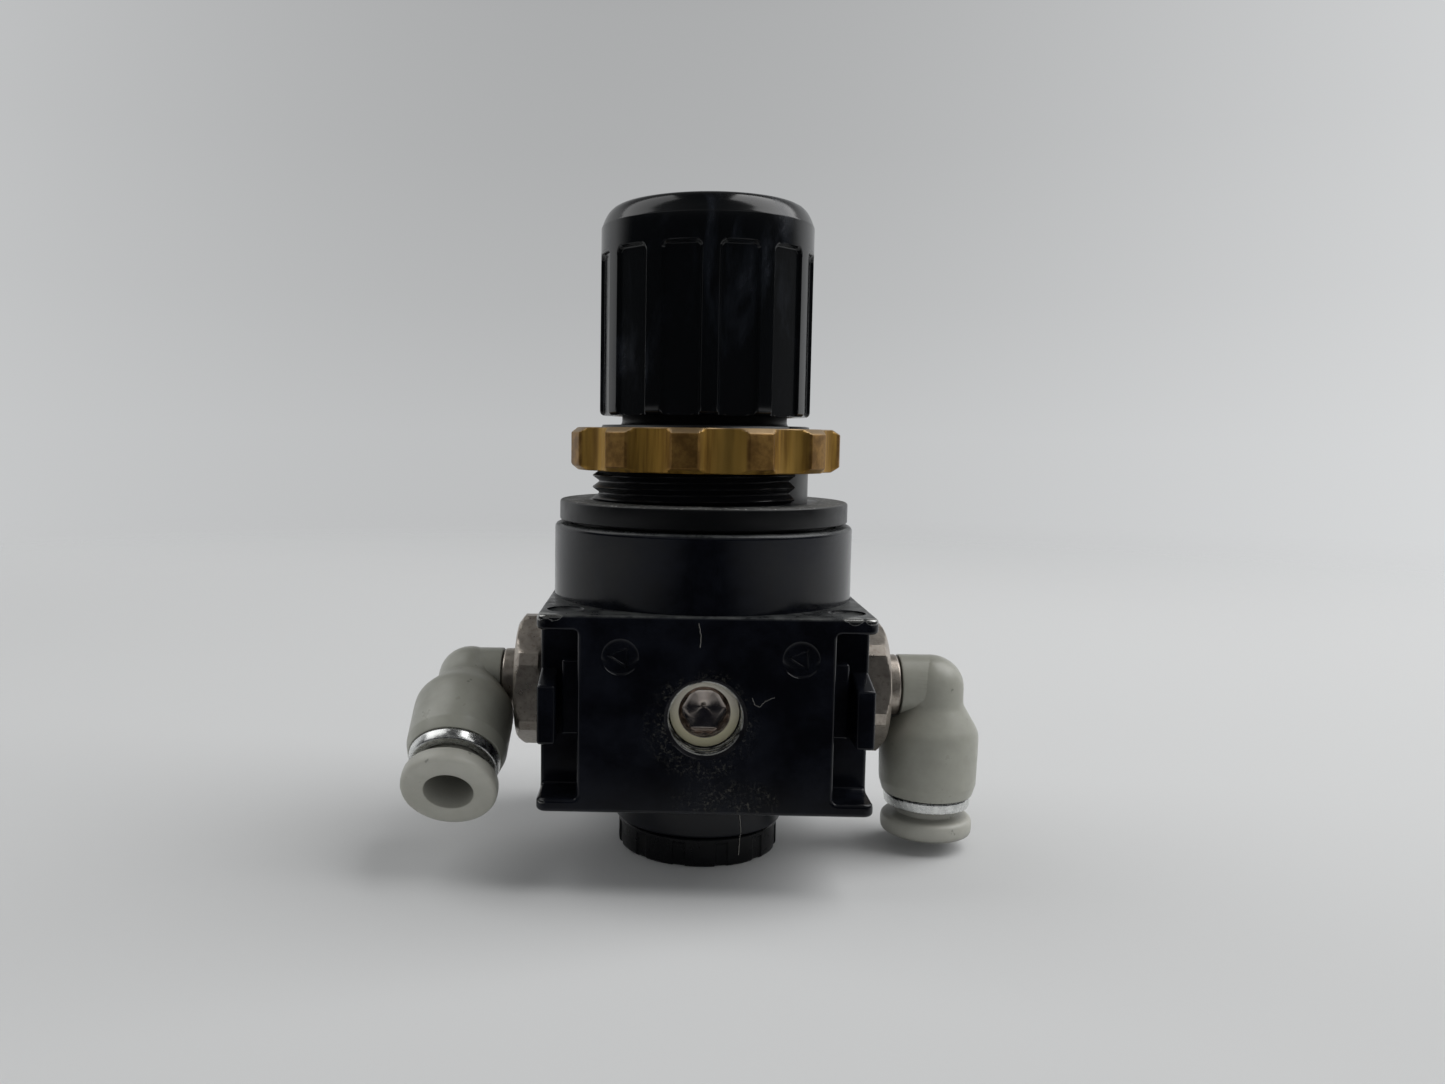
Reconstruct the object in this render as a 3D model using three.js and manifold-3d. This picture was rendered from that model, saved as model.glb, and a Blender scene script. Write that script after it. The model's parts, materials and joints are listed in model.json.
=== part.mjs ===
// Panel-mounted air pressure regulator with two push-in elbow fittings.
// Millimetres, +Z up, knob axis on Z, front of the regulator towards -Y, outlet at -X, inlet at +X.
import * as THREE from 'three';
import { mergeVertices } from 'three/addons/utils/BufferGeometryUtils.js';
import Module from 'manifold-3d';

const wasm = await Module();
wasm.setup();

// ---- body ----
const BODY_HALF_X = 20.0;
const BODY_HALF_Y = 20.3;
const BLOCK_BOTTOM = 9.7;
const BLOCK_TOP = 33.35;
const PLATE_BOTTOM_TOP = 11.3;
const PLATE_TOP_BOTTOM = 31.5;
const RECESS_INNER_X = 15.1;
const RECESS_FLOOR_Y = 14.5;
const RING_R = 19.6;
const RING_TOP = 42.8;
const RING_BORE_R = 17.5;
const LEDGE_Z = 38.6;
const CHAMBER_R = 14.6;
const CHAMBER_FLOOR = 34.6;
const WEB_TOP = 28.6;
const WEB_BOTTOM = 26.2;
const VALVE_CHAMBER_R = 7.6;
const BOSS_R = 11.25;
const BOSS_BOTTOM = 3.5;
const CAP_UNDERSIDE = -0.6;
const CAP_BORE_R = 8.9;
const PORT_Z = 21.25;
const SIDE_PORT_R = 6.3;
const GAUGE_PORT_R = 4.5;
const MARK_LEFT_X = -10.1;
const MARK_RIGHT_X = 11.0;
const MARK_Z = 28.35;
// ---- bonnet ----
const FLANGE_R = 18.95;
const FLANGE_BOTTOM = 43.2;
const FLANGE_TOP = 45.85;
const THREAD_R = 14.7;
const THREAD_ROOT_R = 13.9;
const THREAD_PITCH = 1.5;
const THREAD_TOP = 55.6;
const NECK_R = 10.85;
const NECK_TOP = 68.2;
const SPRING_BORE_R = 8.8;
const PLAIN_HALF = 41;
// ---- panel nut ----
const NUT_R = 17.85;
const NUT_BOTTOM = 49.8;
const NUT_TOP = 55.25;
const NUT_LOBES = 12;
// ---- knob ----
const KNOB_R = 13.8;
const KNOB_BOTTOM = 56.8;
const KNOB_TOP = 83.8;
const KNOB_GROOVES = 12;
// ---- fittings ----
const HEX_FLATS = 16.0;
const HEX_FACE = 7.4;
const HEX_FROM = 20.3;
const HEX_TO = 24.3;
const COLLAR_TO = 26.5;
const ELBOW_X = 31.0;
const ARM_R = 4.1;
const NECK_DROP_R = 4.35;
const BARREL_R = 6.5;
const BARREL_END = 14.5;
const BUTTON_END = 19.9;
const TUBE_R = 3.05;
const LEFT_SWIVEL = -58;
const RIGHT_SWIVEL = 0;

const BIG = 48;
const MID = 26;
const SMALL = 16;
const deg = Math.PI / 180;

// ---------- materials ----------
function finish(color, roughness, metalness) {
  return new THREE.MeshStandardMaterial({ color, roughness, metalness });
}
const paint = finish('#23252b', 0.42, 0.1);
const resin = finish('#1b1c20', 0.4, 0.0);
const gloss = finish('#0d0e10', 0.18, 0.0);
const brass = finish('#b08a48', 0.33, 1.0);
const nickel = finish('#b6a9a0', 0.3, 1.0);
const chrome = finish('#cfd2d4', 0.15, 1.0);
const steel = finish('#8f9296', 0.35, 1.0);
const greyResin = finish('#a9aba4', 0.45, 0.0);
const buttonResin = finish('#b9bbb5', 0.4, 0.0);
const rubber = finish('#18181a', 0.85, 0.0);
const zinc = finish('#a8a69c', 0.4, 1.0);

// ---------- helpers ----------
function lathe(points, segments) {
  const profile = points.map((p) => new THREE.Vector2(p[0], p[1]));
  const geometry = new THREE.LatheGeometry(profile, segments);
  return geometry.rotateX(Math.PI / 2);
}

function closed(points) {
  return [...points, points[0]];
}

function solid(geometry) {
  const bare = geometry.clone();
  bare.deleteAttribute('normal');
  bare.deleteAttribute('uv');
  const merged = mergeVertices(bare, 1e-4);
  const source = merged.index.array;
  const keep = [];
  for (let i = 0; i < source.length; i += 3) {
    const a = source[i];
    const b = source[i + 1];
    const c = source[i + 2];
    if (a !== b && b !== c && c !== a) keep.push(a, b, c);
  }
  const mesh = new wasm.Mesh({
    numProp: 3,
    vertProperties: new Float32Array(merged.attributes.position.array),
    triVerts: new Uint32Array(keep),
  });
  return new wasm.Manifold(mesh);
}

function surface(manifold) {
  const mesh = manifold.simplify(0.004).getMesh();
  const geometry = new THREE.BufferGeometry();
  geometry.setAttribute('position', new THREE.BufferAttribute(mesh.vertProperties, 3));
  geometry.setIndex(new THREE.BufferAttribute(mesh.triVerts, 1));
  geometry.computeVertexNormals();
  return geometry;
}

function rod(radius, from, to, segments = MID) {
  return lathe([[0, from], [radius, from], [radius, to], [0, to]], segments);
}

function sleeve(inner, outer, from, to, segments = MID) {
  return lathe(closed([[inner, from], [outer, from], [outer, to], [inner, to]]), segments);
}

function oRing(centreR, wireR, z, segments = MID) {
  const points = [];
  const sides = 6;
  for (let i = 0; i < sides; i += 1) {
    const a = (i / sides) * 2 * Math.PI;
    points.push([centreR + wireR * Math.cos(a), z + wireR * Math.sin(a)]);
  }
  return lathe(closed(points), segments);
}

function box(x0, x1, y0, y1, z0, z1) {
  const geometry = new THREE.BoxGeometry(x1 - x0, y1 - y0, z1 - z0);
  return geometry.translate((x0 + x1) / 2, (y0 + y1) / 2, (z0 + z1) / 2);
}

function alongX(geometry, side) {
  return geometry.rotateY((side * Math.PI) / 2);
}

function alongY(geometry, side) {
  return geometry.rotateX((-side * Math.PI) / 2);
}

function roundedRect(halfX, halfY, radius) {
  const shape = new THREE.Shape();
  shape.moveTo(-halfX + radius, -halfY);
  shape.lineTo(halfX - radius, -halfY);
  shape.absarc(halfX - radius, -halfY + radius, radius, -Math.PI / 2, 0, false);
  shape.lineTo(halfX, halfY - radius);
  shape.absarc(halfX - radius, halfY - radius, radius, 0, Math.PI / 2, false);
  shape.lineTo(-halfX + radius, halfY);
  shape.absarc(-halfX + radius, halfY - radius, radius, Math.PI / 2, Math.PI, false);
  shape.lineTo(-halfX, -halfY + radius);
  shape.absarc(-halfX + radius, -halfY + radius, radius, Math.PI, Math.PI * 1.5, false);
  return shape;
}

function slab(shape, from, to, edge, curveSegments = 3) {
  const geometry = new THREE.ExtrudeGeometry(shape, {
    depth: to - from - 2 * edge,
    bevelEnabled: edge > 0,
    bevelThickness: edge,
    bevelSize: edge,
    bevelOffset: -edge,
    bevelSegments: 1,
    curveSegments,
  });
  return geometry.translate(0, 0, from + edge);
}

class Coil extends THREE.Curve {
  constructor(radius, bottom, top, turns, wire) {
    super();
    this.radius = radius;
    this.bottom = bottom;
    this.top = top;
    this.turns = turns;
    this.wire = wire;
  }

  getPoint(t, target = new THREE.Vector3()) {
    const turn = t * this.turns;
    const dead = this.wire * 1.15;
    const open = (this.top - this.bottom - 2 * dead) / (this.turns - 2);
    let z = this.bottom + turn * dead;
    if (turn > 1) z = this.bottom + dead + (turn - 1) * open;
    if (turn > this.turns - 1) z = this.top - (this.turns - turn) * dead;
    const a = turn * 2 * Math.PI;
    return target.set(this.radius * Math.cos(a), this.radius * Math.sin(a), z);
  }
}

function spring(radius, wire, bottom, top, turns, perTurn) {
  const path = new Coil(radius, bottom + wire / 2, top - wire / 2, turns, wire);
  const section = new THREE.Shape();
  const sides = 6;
  for (let i = 0; i <= sides; i += 1) {
    const a = (i / sides) * 2 * Math.PI;
    const x = (wire / 2) * Math.cos(a);
    const y = (wire / 2) * Math.sin(a);
    if (i === 0) section.moveTo(x, y);
    else section.lineTo(x, y);
  }
  return new THREE.ExtrudeGeometry(section, {
    steps: Math.round(turns * perTurn),
    bevelEnabled: false,
    extrudePath: path,
  });
}

// ---------- body ----------
function cornerRecess(sx, sy) {
  const far = 30;
  const x0 = Math.min(sx * RECESS_INNER_X, sx * far);
  const x1 = Math.max(sx * RECESS_INNER_X, sx * far);
  const y0 = Math.min(sy * RECESS_FLOOR_Y, sy * far);
  const y1 = Math.max(sy * RECESS_FLOOR_Y, sy * far);
  return box(x0, x1, y0, y1, PLATE_BOTTOM_TOP, PLATE_TOP_BOTTOM);
}

function clampLug(sx, sy) {
  const shape = new THREE.Shape();
  shape.moveTo(sx * 17.7, 17.6);
  shape.lineTo(sx * 20.0, 17.6);
  shape.lineTo(sx * 20.0, 25.8);
  shape.lineTo(sx * 17.7, 24.8);
  const depth = 19.6 - 14.0;
  const geometry = new THREE.ExtrudeGeometry(shape, { depth, bevelEnabled: false });
  geometry.rotateX(Math.PI / 2);
  return geometry.translate(0, sy > 0 ? 19.6 : -14.0, 0);
}

function recessStep(sx, sy) {
  const x0 = Math.min(sx * 14.8, sx * 16.8);
  const x1 = Math.max(sx * 14.8, sx * 16.8);
  const y0 = Math.min(sy * 14.0, sy * 17.0);
  const y1 = Math.max(sy * 14.0, sy * 17.0);
  return box(x0, x1, y0, y1, 18.2, 27.4);
}

function sidePort(side) {
  const bore = solid(rod(SIDE_PORT_R, 9.9, 25, SMALL));
  const seat = solid(rod(7.1, 18.7, 25, SMALL));
  const tool = bore.add(seat);
  return tool.rotate([0, side * 90, 0]).translate([0, 0, PORT_Z]);
}

function gaugePort(side) {
  const points = [[0, 10.4], [GAUGE_PORT_R, 10.4], [GAUGE_PORT_R, 19.85], [4.95, 20.35], [4.95, 24], [0, 24]];
  const bore = solid(alongY(lathe(points, SMALL), side)).translate([0, 0, PORT_Z]);
  const riser = solid(rod(0.9, PORT_Z, 35.6, 16)).translate([0, side * 11.5, 0]);
  return bore.add(riser);
}

function arrowMark(x) {
  const disc = solid(alongY(rod(2.1, 19.8, 24, SMALL), -1)).translate([x, 0, MARK_Z]);
  const shape = new THREE.Shape();
  shape.moveTo(x - 1.5, MARK_Z);
  shape.lineTo(x + 1.0, MARK_Z - 1.45);
  shape.lineTo(x + 1.0, MARK_Z + 1.45);
  const arrow = new THREE.ExtrudeGeometry(shape, { depth: 1.2, bevelEnabled: false });
  arrow.rotateX(Math.PI / 2).translate(0, -19.0, 0);
  return [disc, solid(arrow)];
}

function bodyGeometry() {
  const block = slab(roundedRect(BODY_HALF_X, BODY_HALF_Y, 1.2), BLOCK_BOTTOM, BLOCK_TOP, 0.35);
  const ring = lathe([[0, BLOCK_TOP - 1], [RING_R, BLOCK_TOP - 1], [RING_R, RING_TOP - 0.6],
    [RING_R - 0.18, RING_TOP - 0.18], [RING_R - 0.6, RING_TOP], [0, RING_TOP]], BIG);
  const boss = lathe([[0, BOSS_BOTTOM], [BOSS_R, BOSS_BOTTOM], [BOSS_R, 9.2], [BOSS_R + 0.5, 9.7],
    [BOSS_R + 0.5, 10.5], [0, 10.5]], 36);
  let body = solid(block).add(solid(ring)).add(solid(boss));
  for (const sx of [-1, 1]) {
    for (const sy of [-1, 1]) {
      body = body.subtract(solid(cornerRecess(sx, sy)));
      body = body.add(solid(clampLug(sx, sy))).add(solid(recessStep(sx, sy)));
      const pad = solid(rod(2.2, BLOCK_TOP - 0.3, BLOCK_TOP + 1, 24)).translate([sx * 16.9, sy * 15.6, 0]);
      const keep = solid(rod(RING_R, BLOCK_TOP - 2, BLOCK_TOP + 3, BIG));
      body = body.subtract(pad.subtract(keep));
    }
  }
  for (const x of [MARK_LEFT_X, MARK_RIGHT_X]) {
    const [disc, arrow] = arrowMark(x);
    body = body.subtract(disc).add(arrow);
  }
  const upper = lathe([[0, WEB_TOP], [9.5, WEB_TOP], [9.5, CHAMBER_FLOOR], [CHAMBER_R, CHAMBER_FLOOR],
    [CHAMBER_R, LEDGE_Z], [RING_BORE_R, LEDGE_Z], [RING_BORE_R, 50], [0, 50]], MID);
  const lower = lathe([[0, -2], [CAP_BORE_R, -2], [CAP_BORE_R, 13.0], [VALVE_CHAMBER_R, 13.4],
    [VALVE_CHAMBER_R, WEB_BOTTOM], [5.3, WEB_BOTTOM], [5.3, 28.2], [4.4, 28.2], [4.4, 30], [0, 30]], MID);
  const inletWay = alongX(rod(3.0, 5, 12, 24), 1).translate(0, 0, PORT_Z);
  const outletWay = rod(1.2, PORT_Z, 35.6, 16).translate(-11.2, 0, 0);
  for (const tool of [upper, lower, inletWay, outletWay]) body = body.subtract(solid(tool));
  for (const side of [-1, 1]) body = body.subtract(sidePort(side)).subtract(gaugePort(side));
  return surface(body);
}

function valveSeatGeometry() {
  return lathe(closed([[2.6, 26.1], [2.95, 25.8], [3.4, 25.8], [3.7, 26.1], [5.0, 26.1], [5.0, 27.9],
    [2.6, 27.9]]), MID);
}

// ---------- bottom cap ----------
function bottomCapGeometry() {
  const outer = lathe([[0, CAP_UNDERSIDE], [10.2, CAP_UNDERSIDE], [10.7, CAP_UNDERSIDE + 0.5], [10.7, 3.2],
    [8.6, 3.2], [8.6, 4.1], [7.6, 4.1], [7.6, 5.5], [8.6, 5.5], [8.6, 12.1], [8.2, 12.5], [0, 12.5]], MID);
  const hollow = lathe([[0, 11], [2.5, 11], [2.5, 4.6], [5.6, 4.6], [5.6, 14], [0, 14]], SMALL);
  const guide = rod(1.6, 5.0, 14, 20);
  let cap = solid(outer).subtract(solid(hollow)).subtract(solid(guide));
  for (let i = 0; i < 12; i += 1) {
    const notch = solid(box(-0.85, 0.85, -12, -10.25, -2, 2.5)).rotate([0, 0, i * 30 + 15]);
    cap = cap.subtract(notch);
  }
  return surface(cap);
}

// ---------- bonnet ----------
function bonnetGeometry() {
  const points = [[14.0, 39.8], [17.2, 39.8], [17.2, FLANGE_BOTTOM], [FLANGE_R - 0.2, FLANGE_BOTTOM],
    [FLANGE_R, FLANGE_BOTTOM + 0.2], [FLANGE_R, FLANGE_TOP - 0.3], [FLANGE_R - 0.3, FLANGE_TOP]];
  points.push([THREAD_R, FLANGE_TOP]);
  for (let z = FLANGE_TOP + 0.1; z < 54.0; z += THREAD_PITCH) {
    points.push([THREAD_R, z]);
    points.push([THREAD_ROOT_R, z + THREAD_PITCH / 2]);
  }
  points.push([13.6, THREAD_TOP], [NECK_R, THREAD_TOP]);
  points.push([NECK_R, 60.9], [10.0, 60.9], [10.0, 62.2], [NECK_R, 62.2]);
  points.push([NECK_R, NECK_TOP - 0.6], [NECK_R - 0.6, NECK_TOP], [4.35, NECK_TOP], [4.35, 66.2]);
  points.push([SPRING_BORE_R, 66.2], [SPRING_BORE_R, 44.0], [14.0, 44.0]);
  let bonnet = solid(lathe(closed(points), BIG));
  for (const side of [-1, 1]) {
    const keyway = box(side * 8 - 1.7, side * 8 + 1.7, -1.5, 1.5, 43.5, 66.2);
    bonnet = bonnet.subtract(solid(keyway));
  }
  const plain = solid(sleeve(13.75, 16, FLANGE_TOP, 57, BIG));
  const wedge = new THREE.Shape();
  wedge.moveTo(0, 0);
  wedge.lineTo(30 * Math.cos(PLAIN_HALF * deg), -30 * Math.sin(PLAIN_HALF * deg));
  wedge.lineTo(30 * Math.cos(PLAIN_HALF * deg), 30 * Math.sin(PLAIN_HALF * deg));
  const sector = solid(slab(wedge, FLANGE_TOP - 1, 58, 0));
  bonnet = bonnet.subtract(plain.intersect(sector));
  return surface(bonnet);
}

function retainingRingGeometry() {
  const ring = solid(sleeve(10.2, 11.25, 61.15, 61.95, MID));
  const gap = solid(box(-1.6, 1.6, 8, 13, 60, 63));
  return surface(ring.subtract(gap));
}

// ---------- panel nut ----------
function panelNutGeometry() {
  const points = [[15.0, NUT_BOTTOM + 0.3], [15.3, NUT_BOTTOM], [NUT_R - 0.95, NUT_BOTTOM],
    [NUT_R, NUT_BOTTOM + 0.65], [NUT_R, NUT_TOP - 0.65], [NUT_R - 0.95, NUT_TOP], [15.3, NUT_TOP],
    [15.0, NUT_TOP - 0.3]];
  let nut = solid(lathe(closed(points), BIG));
  for (let i = 0; i < NUT_LOBES; i += 1) {
    const cutter = solid(rod(4.7, NUT_BOTTOM - 1, NUT_TOP + 1, 30)).translate([0, -21.07, 0]);
    nut = nut.subtract(cutter.rotate([0, 0, 5.5 + (i * 360) / NUT_LOBES]));
  }
  return surface(nut);
}

// ---------- knob ----------
function knobGroove() {
  const half = 2.37;
  const top = 77.45;
  const r = 1.3;
  const shape = new THREE.Shape();
  shape.moveTo(-half, KNOB_BOTTOM - 2);
  shape.lineTo(half, KNOB_BOTTOM - 2);
  shape.lineTo(half, top - r);
  shape.absarc(half - r, top - r, r, 0, Math.PI / 2, false);
  shape.lineTo(-half + r, top);
  shape.absarc(-half + r, top - r, r, Math.PI / 2, Math.PI, false);
  const geometry = new THREE.ExtrudeGeometry(shape, { depth: 3, bevelEnabled: false, curveSegments: 2 });
  return geometry.rotateX(Math.PI / 2).translate(0, -13.12, 0);
}

function knobGeometry() {
  const outer = [[0, KNOB_BOTTOM], [KNOB_R - 0.6, KNOB_BOTTOM], [KNOB_R - 0.17, KNOB_BOTTOM + 0.17],
    [KNOB_R, KNOB_BOTTOM + 0.6]];
  for (let i = 0; i <= 5; i += 1) {
    const a = (i / 5) * (Math.PI / 2);
    outer.push([KNOB_R - 1.9 + 1.9 * Math.cos(a), KNOB_TOP - 4.35 + 4.0 * Math.sin(a)]);
  }
  outer.push([0, KNOB_TOP]);
  const hollow = lathe([[0, 50], [11.85, 50], [11.85, 57.1], [11.55, 57.3], [11.08, 57.6], [11.08, 58.3],
    [11.55, 58.8], [11.55, 79.5], [6.3, 79.5], [6.3, 69.6], [0, 69.6]], MID);
  const socket = lathe([[0, 60], [4.2, 60], [4.2, 80.2], [0, 80.2]], 6);
  let knob = solid(lathe(outer, BIG)).subtract(solid(hollow)).subtract(solid(socket));
  for (let i = 0; i < KNOB_GROOVES; i += 1) {
    knob = knob.subtract(solid(knobGroove()).rotate([0, 0, 15 + (i * 360) / KNOB_GROOVES]));
  }
  return surface(knob);
}

// ---------- adjusting train ----------
function spindleGeometry() {
  const screw = lathe([[0, 44.6], [2.6, 44.6], [3.0, 45.0], [3.0, 63.5], [6.2, 63.5], [6.2, 65.1],
    [4.0, 65.1], [4.0, 69.4], [0, 69.4]], SMALL);
  const drive = lathe([[0, 69], [3.8, 69], [3.8, 79.2], [3.5, 79.6], [0, 79.6]], 6);
  return surface(solid(screw).add(solid(drive)));
}

function springNutGeometry() {
  const disc = lathe(closed([[3.3, 57.2], [5.4, 57.2], [5.6, 60.0], [8.5, 60.0], [8.5, 62.0], [3.3, 62.0]]), MID);
  let nut = solid(disc);
  for (const side of [-1, 1]) {
    nut = nut.add(solid(box(side * 8.3 - 1.0, side * 8.3 + 1.0, -1.2, 1.2, 60.0, 62.0)));
  }
  return surface(nut);
}

// ---------- diaphragm group ----------
function diaphragmGeometry() {
  const low = 38.75;
  const high = 39.55;
  const points = [[1.9, low], [10.4, low], [12.0, low - 0.9], [13.6, low], [17.1, low],
    [17.1, high], [13.6, high], [12.0, high - 0.9], [10.4, high], [1.9, high]];
  return lathe(closed(points), MID);
}

function diaphragmPlateGeometry() {
  return lathe(closed([[1.9, 39.75], [9.8, 39.75], [9.8, 41.0], [5.5, 41.0], [5.3, 42.4], [4.3, 42.4],
    [4.3, 40.9], [1.9, 40.9]]), MID);
}

function reliefHubGeometry() {
  return lathe(closed([[0.7, 36.6], [2.4, 36.6], [2.4, 37.1], [7.5, 37.1], [7.5, 38.6], [1.6, 38.6],
    [1.6, 41.15], [3.2, 41.15], [3.2, 42.0], [0.7, 42.0]]), SMALL);
}

// ---------- supply valve ----------
function poppetGeometry() {
  return lathe([[0, 7.0], [1.1, 7.0], [1.3, 7.2], [1.3, 22.4], [4.6, 22.4], [4.6, 24.6], [1.1, 24.6],
    [1.1, 35.9], [0.7, 36.3], [0, 36.3]], SMALL);
}

// ---------- plugs ----------
function plugGeometry() {
  const shell = lathe([[0, -4.4], [3.9, -4.4], [4.2, -4.1], [4.2, -0.25], [3.95, 0], [0, 0]], SMALL);
  const sink = lathe([[0, -0.5], [2.65, -0.5], [3.15, 0.02], [3.15, 1], [0, 1]], SMALL);
  const hex = lathe([[0, -3.6], [2.5 / Math.cos(30 * deg), -2.6], [2.5 / Math.cos(30 * deg), 1], [0, 1]], 6);
  return surface(solid(shell).subtract(solid(sink)).subtract(solid(hex)));
}

// ---------- fittings ----------
function studGeometry() {
  const corner = Math.hypot(HEX_FLATS, HEX_FACE) / 2;
  const half = Math.atan2(HEX_FACE, HEX_FLATS);
  const outline = new THREE.Shape();
  for (let i = 0; i < 12; i += 1) {
    const a = Math.floor(i / 2) * 60 * deg + (i % 2 === 0 ? -half : half);
    if (i === 0) outline.moveTo(corner * Math.cos(a), corner * Math.sin(a));
    else outline.lineTo(corner * Math.cos(a), corner * Math.sin(a));
  }
  const hexPrism = solid(slab(outline, HEX_FROM, HEX_TO, 0));
  const dome = solid(lathe([[0, HEX_FROM - 0.01], [corner - 0.5, HEX_FROM - 0.01], [corner, HEX_FROM + 0.3],
    [corner + 0.1, HEX_TO - 0.8], [corner - 1.0, HEX_TO + 0.01], [0, HEX_TO + 0.01]], MID));
  const shank = solid(lathe([[0, 12.5], [5.6, 12.5], [6.0, 12.9], [6.0, 18.7], [5.7, 18.9], [5.7, 21],
    [0, 21]], SMALL));
  const neck = solid(lathe([[0, 23], [4.05, 23], [4.05, COLLAR_TO - 0.2], [3.1, COLLAR_TO - 0.2], [3.1, 26.8],
    [2.3, 26.8], [2.3, 28.2], [3.1, 28.2], [3.1, 28.8], [0, 28.8]], SMALL));
  const way = solid(rod(1.5, 11, 30, 20));
  return hexPrism.intersect(dome).add(shank).add(neck).subtract(way);
}

function elbowGeometry(side) {
  const skin = [[0, -BARREL_END], [BARREL_R - 0.65, -BARREL_END], [BARREL_R - 0.15, -BARREL_END + 1.6],
    [BARREL_R, -6.4], [BARREL_R - 0.15, -5.2], [NECK_DROP_R, -2.4]];
  for (let i = 0; i < 6; i += 1) {
    const a = (i / 6) * (Math.PI / 2);
    skin.push([NECK_DROP_R * Math.cos(a), ARM_R * Math.sin(a)]);
  }
  skin.push([0, ARM_R]);
  const barrel = solid(lathe(skin, MID));
  const arm = solid(alongX(rod(ARM_R, COLLAR_TO - ELBOW_X, 0, MID), side));
  const socket = solid(lathe([[0, -15.5], [5.65, -15.5], [5.65, -9.1], [5.2, -9.1], [5.2, -7.0], [3.3, -7.0],
    [3.3, -4.6], [2.2, -4.6], [2.2, 0.4], [1.4, 1.6], [0, 1.9]], SMALL));
  const bore = solid(alongX(lathe([[0, -8], [3.4, -8], [3.4, -1.3], [2.2, -1.0], [2.2, 0], [0, 0]], SMALL), side));
  const spotFace = solid(alongX(rod(4.3, -9, COLLAR_TO - ELBOW_X, MID), side));
  return surface(barrel.add(arm).subtract(socket).subtract(bore).subtract(spotFace));
}

function releaseRingGeometry() {
  return lathe(closed([[TUBE_R, -BUTTON_END], [5.6, -BUTTON_END], [5.95, -BUTTON_END + 0.4], [6.0, -18.4],
    [5.7, -17.5], [5.4, -17.3], [4.1, -17.3], [4.1, -11.2], [3.8, -10.8], [TUBE_R, -10.8]]), MID);
}

function guideRingGeometry() {
  return lathe(closed([[4.4, -15.9], [5.45, -15.9], [5.75, -15.6], [5.75, -14.8], [5.35, -14.8],
    [5.35, -11.5], [4.4, -11.5]]), MID);
}

function colletGeometry() {
  return lathe(closed([[3.15, -9.0], [3.5, -9.0], [4.2, -9.4], [5.3, -9.4], [5.3, -9.9], [4.2, -9.9],
    [3.5, -9.5], [3.15, -9.3]]).reverse(), SMALL);
}

function tubeSealGeometry() {
  return lathe(closed([[TUBE_R + 0.1, -8.5], [4.9, -8.5], [4.9, -7.3], [TUBE_R + 0.1, -7.3]]), SMALL);
}

// ---------- assembly ----------
const root = new THREE.Group();
root.name = 'air_pressure_regulator';
const assembly = new THREE.Group();
assembly.name = 'assembly';
assembly.position.set(0, 0, -CAP_UNDERSIDE);
root.add(assembly);

function add(parent, name, geometry, material) {
  const mesh = new THREE.Mesh(geometry, material);
  mesh.name = name;
  parent.add(mesh);
  return mesh;
}

add(assembly, 'body', bodyGeometry(), paint);
add(assembly, 'valve_seat', valveSeatGeometry(), brass);
add(assembly, 'bottom_cap', bottomCapGeometry(), resin);
add(assembly, 'bottom_cap_seal', oRing(8.2, 0.45, 4.8), rubber);
add(assembly, 'valve_poppet', poppetGeometry(), brass);
add(assembly, 'valve_seal', sleeve(1.35, 4.4, 24.75, 25.65, SMALL), rubber);
add(assembly, 'valve_spring', spring(3.4, 0.7, 4.75, 22.25, 6, 11), steel);
add(assembly, 'diaphragm', diaphragmGeometry(), rubber);
add(assembly, 'diaphragm_plate', diaphragmPlateGeometry(), zinc);
add(assembly, 'relief_hub', reliefHubGeometry(), brass);
add(assembly, 'main_spring', spring(7.0, 1.9, 41.15, 59.85, 5.5, 14), steel);
add(assembly, 'spring_nut', springNutGeometry(), zinc);
add(assembly, 'adjusting_spindle', spindleGeometry(), steel);
add(assembly, 'thrust_washer', sleeve(4.3, 6.6, 65.4, 65.95, SMALL), brass);
add(assembly, 'bonnet', bonnetGeometry(), resin);
add(assembly, 'knob_retaining_ring', retainingRingGeometry(), steel);
add(assembly, 'panel_nut', panelNutGeometry(), brass);
add(assembly, 'knob', knobGeometry(), gloss);

for (const [label, side] of [['front', -1], ['rear', 1]]) {
  const plug = add(assembly, `${label}_plug`, plugGeometry(), nickel);
  plug.rotation.x = side < 0 ? Math.PI / 2 : -Math.PI / 2;
  plug.position.set(0, side * 17.0, PORT_Z);
}

for (const [label, side, swivel, hexTurn] of [['left', -1, LEFT_SWIVEL, 28.5], ['right', 1, RIGHT_SWIVEL, 17.8]]) {
  const stud = surface(studGeometry().rotate([0, 0, hexTurn]).rotate([0, side * 90, 0]));
  const fixed = new THREE.Group();
  fixed.name = `${label}_stud_group`;
  fixed.position.set(0, 0, PORT_Z);
  assembly.add(fixed);
  add(fixed, `${label}_stud`, stud, nickel);
  add(fixed, `${label}_stud_seal`, alongX(oRing(6.4, 0.5, 19.45, SMALL), side), rubber);
  add(fixed, `${label}_swivel_seal`, alongX(oRing(2.85, 0.42, 27.5, 24), side), rubber);
  const branch = new THREE.Group();
  branch.name = `${label}_elbow_group`;
  branch.position.set(side * ELBOW_X, 0, PORT_Z);
  branch.rotation.x = swivel * deg;
  assembly.add(branch);
  add(branch, `${label}_elbow`, elbowGeometry(side), greyResin);
  add(branch, `${label}_tube_seal`, tubeSealGeometry(), rubber);
  add(branch, `${label}_collet`, colletGeometry(), steel);
  add(branch, `${label}_guide_ring`, guideRingGeometry(), chrome);
  add(branch, `${label}_release_ring`, releaseRingGeometry(), buttonResin);
}

export default root;
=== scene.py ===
"""Looks of a panel-mount air pressure regulator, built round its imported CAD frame.

A piece is drawn in millimetres, in the frame's own axes, and finished() turns it into metres.
"""

import json
import math

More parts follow.
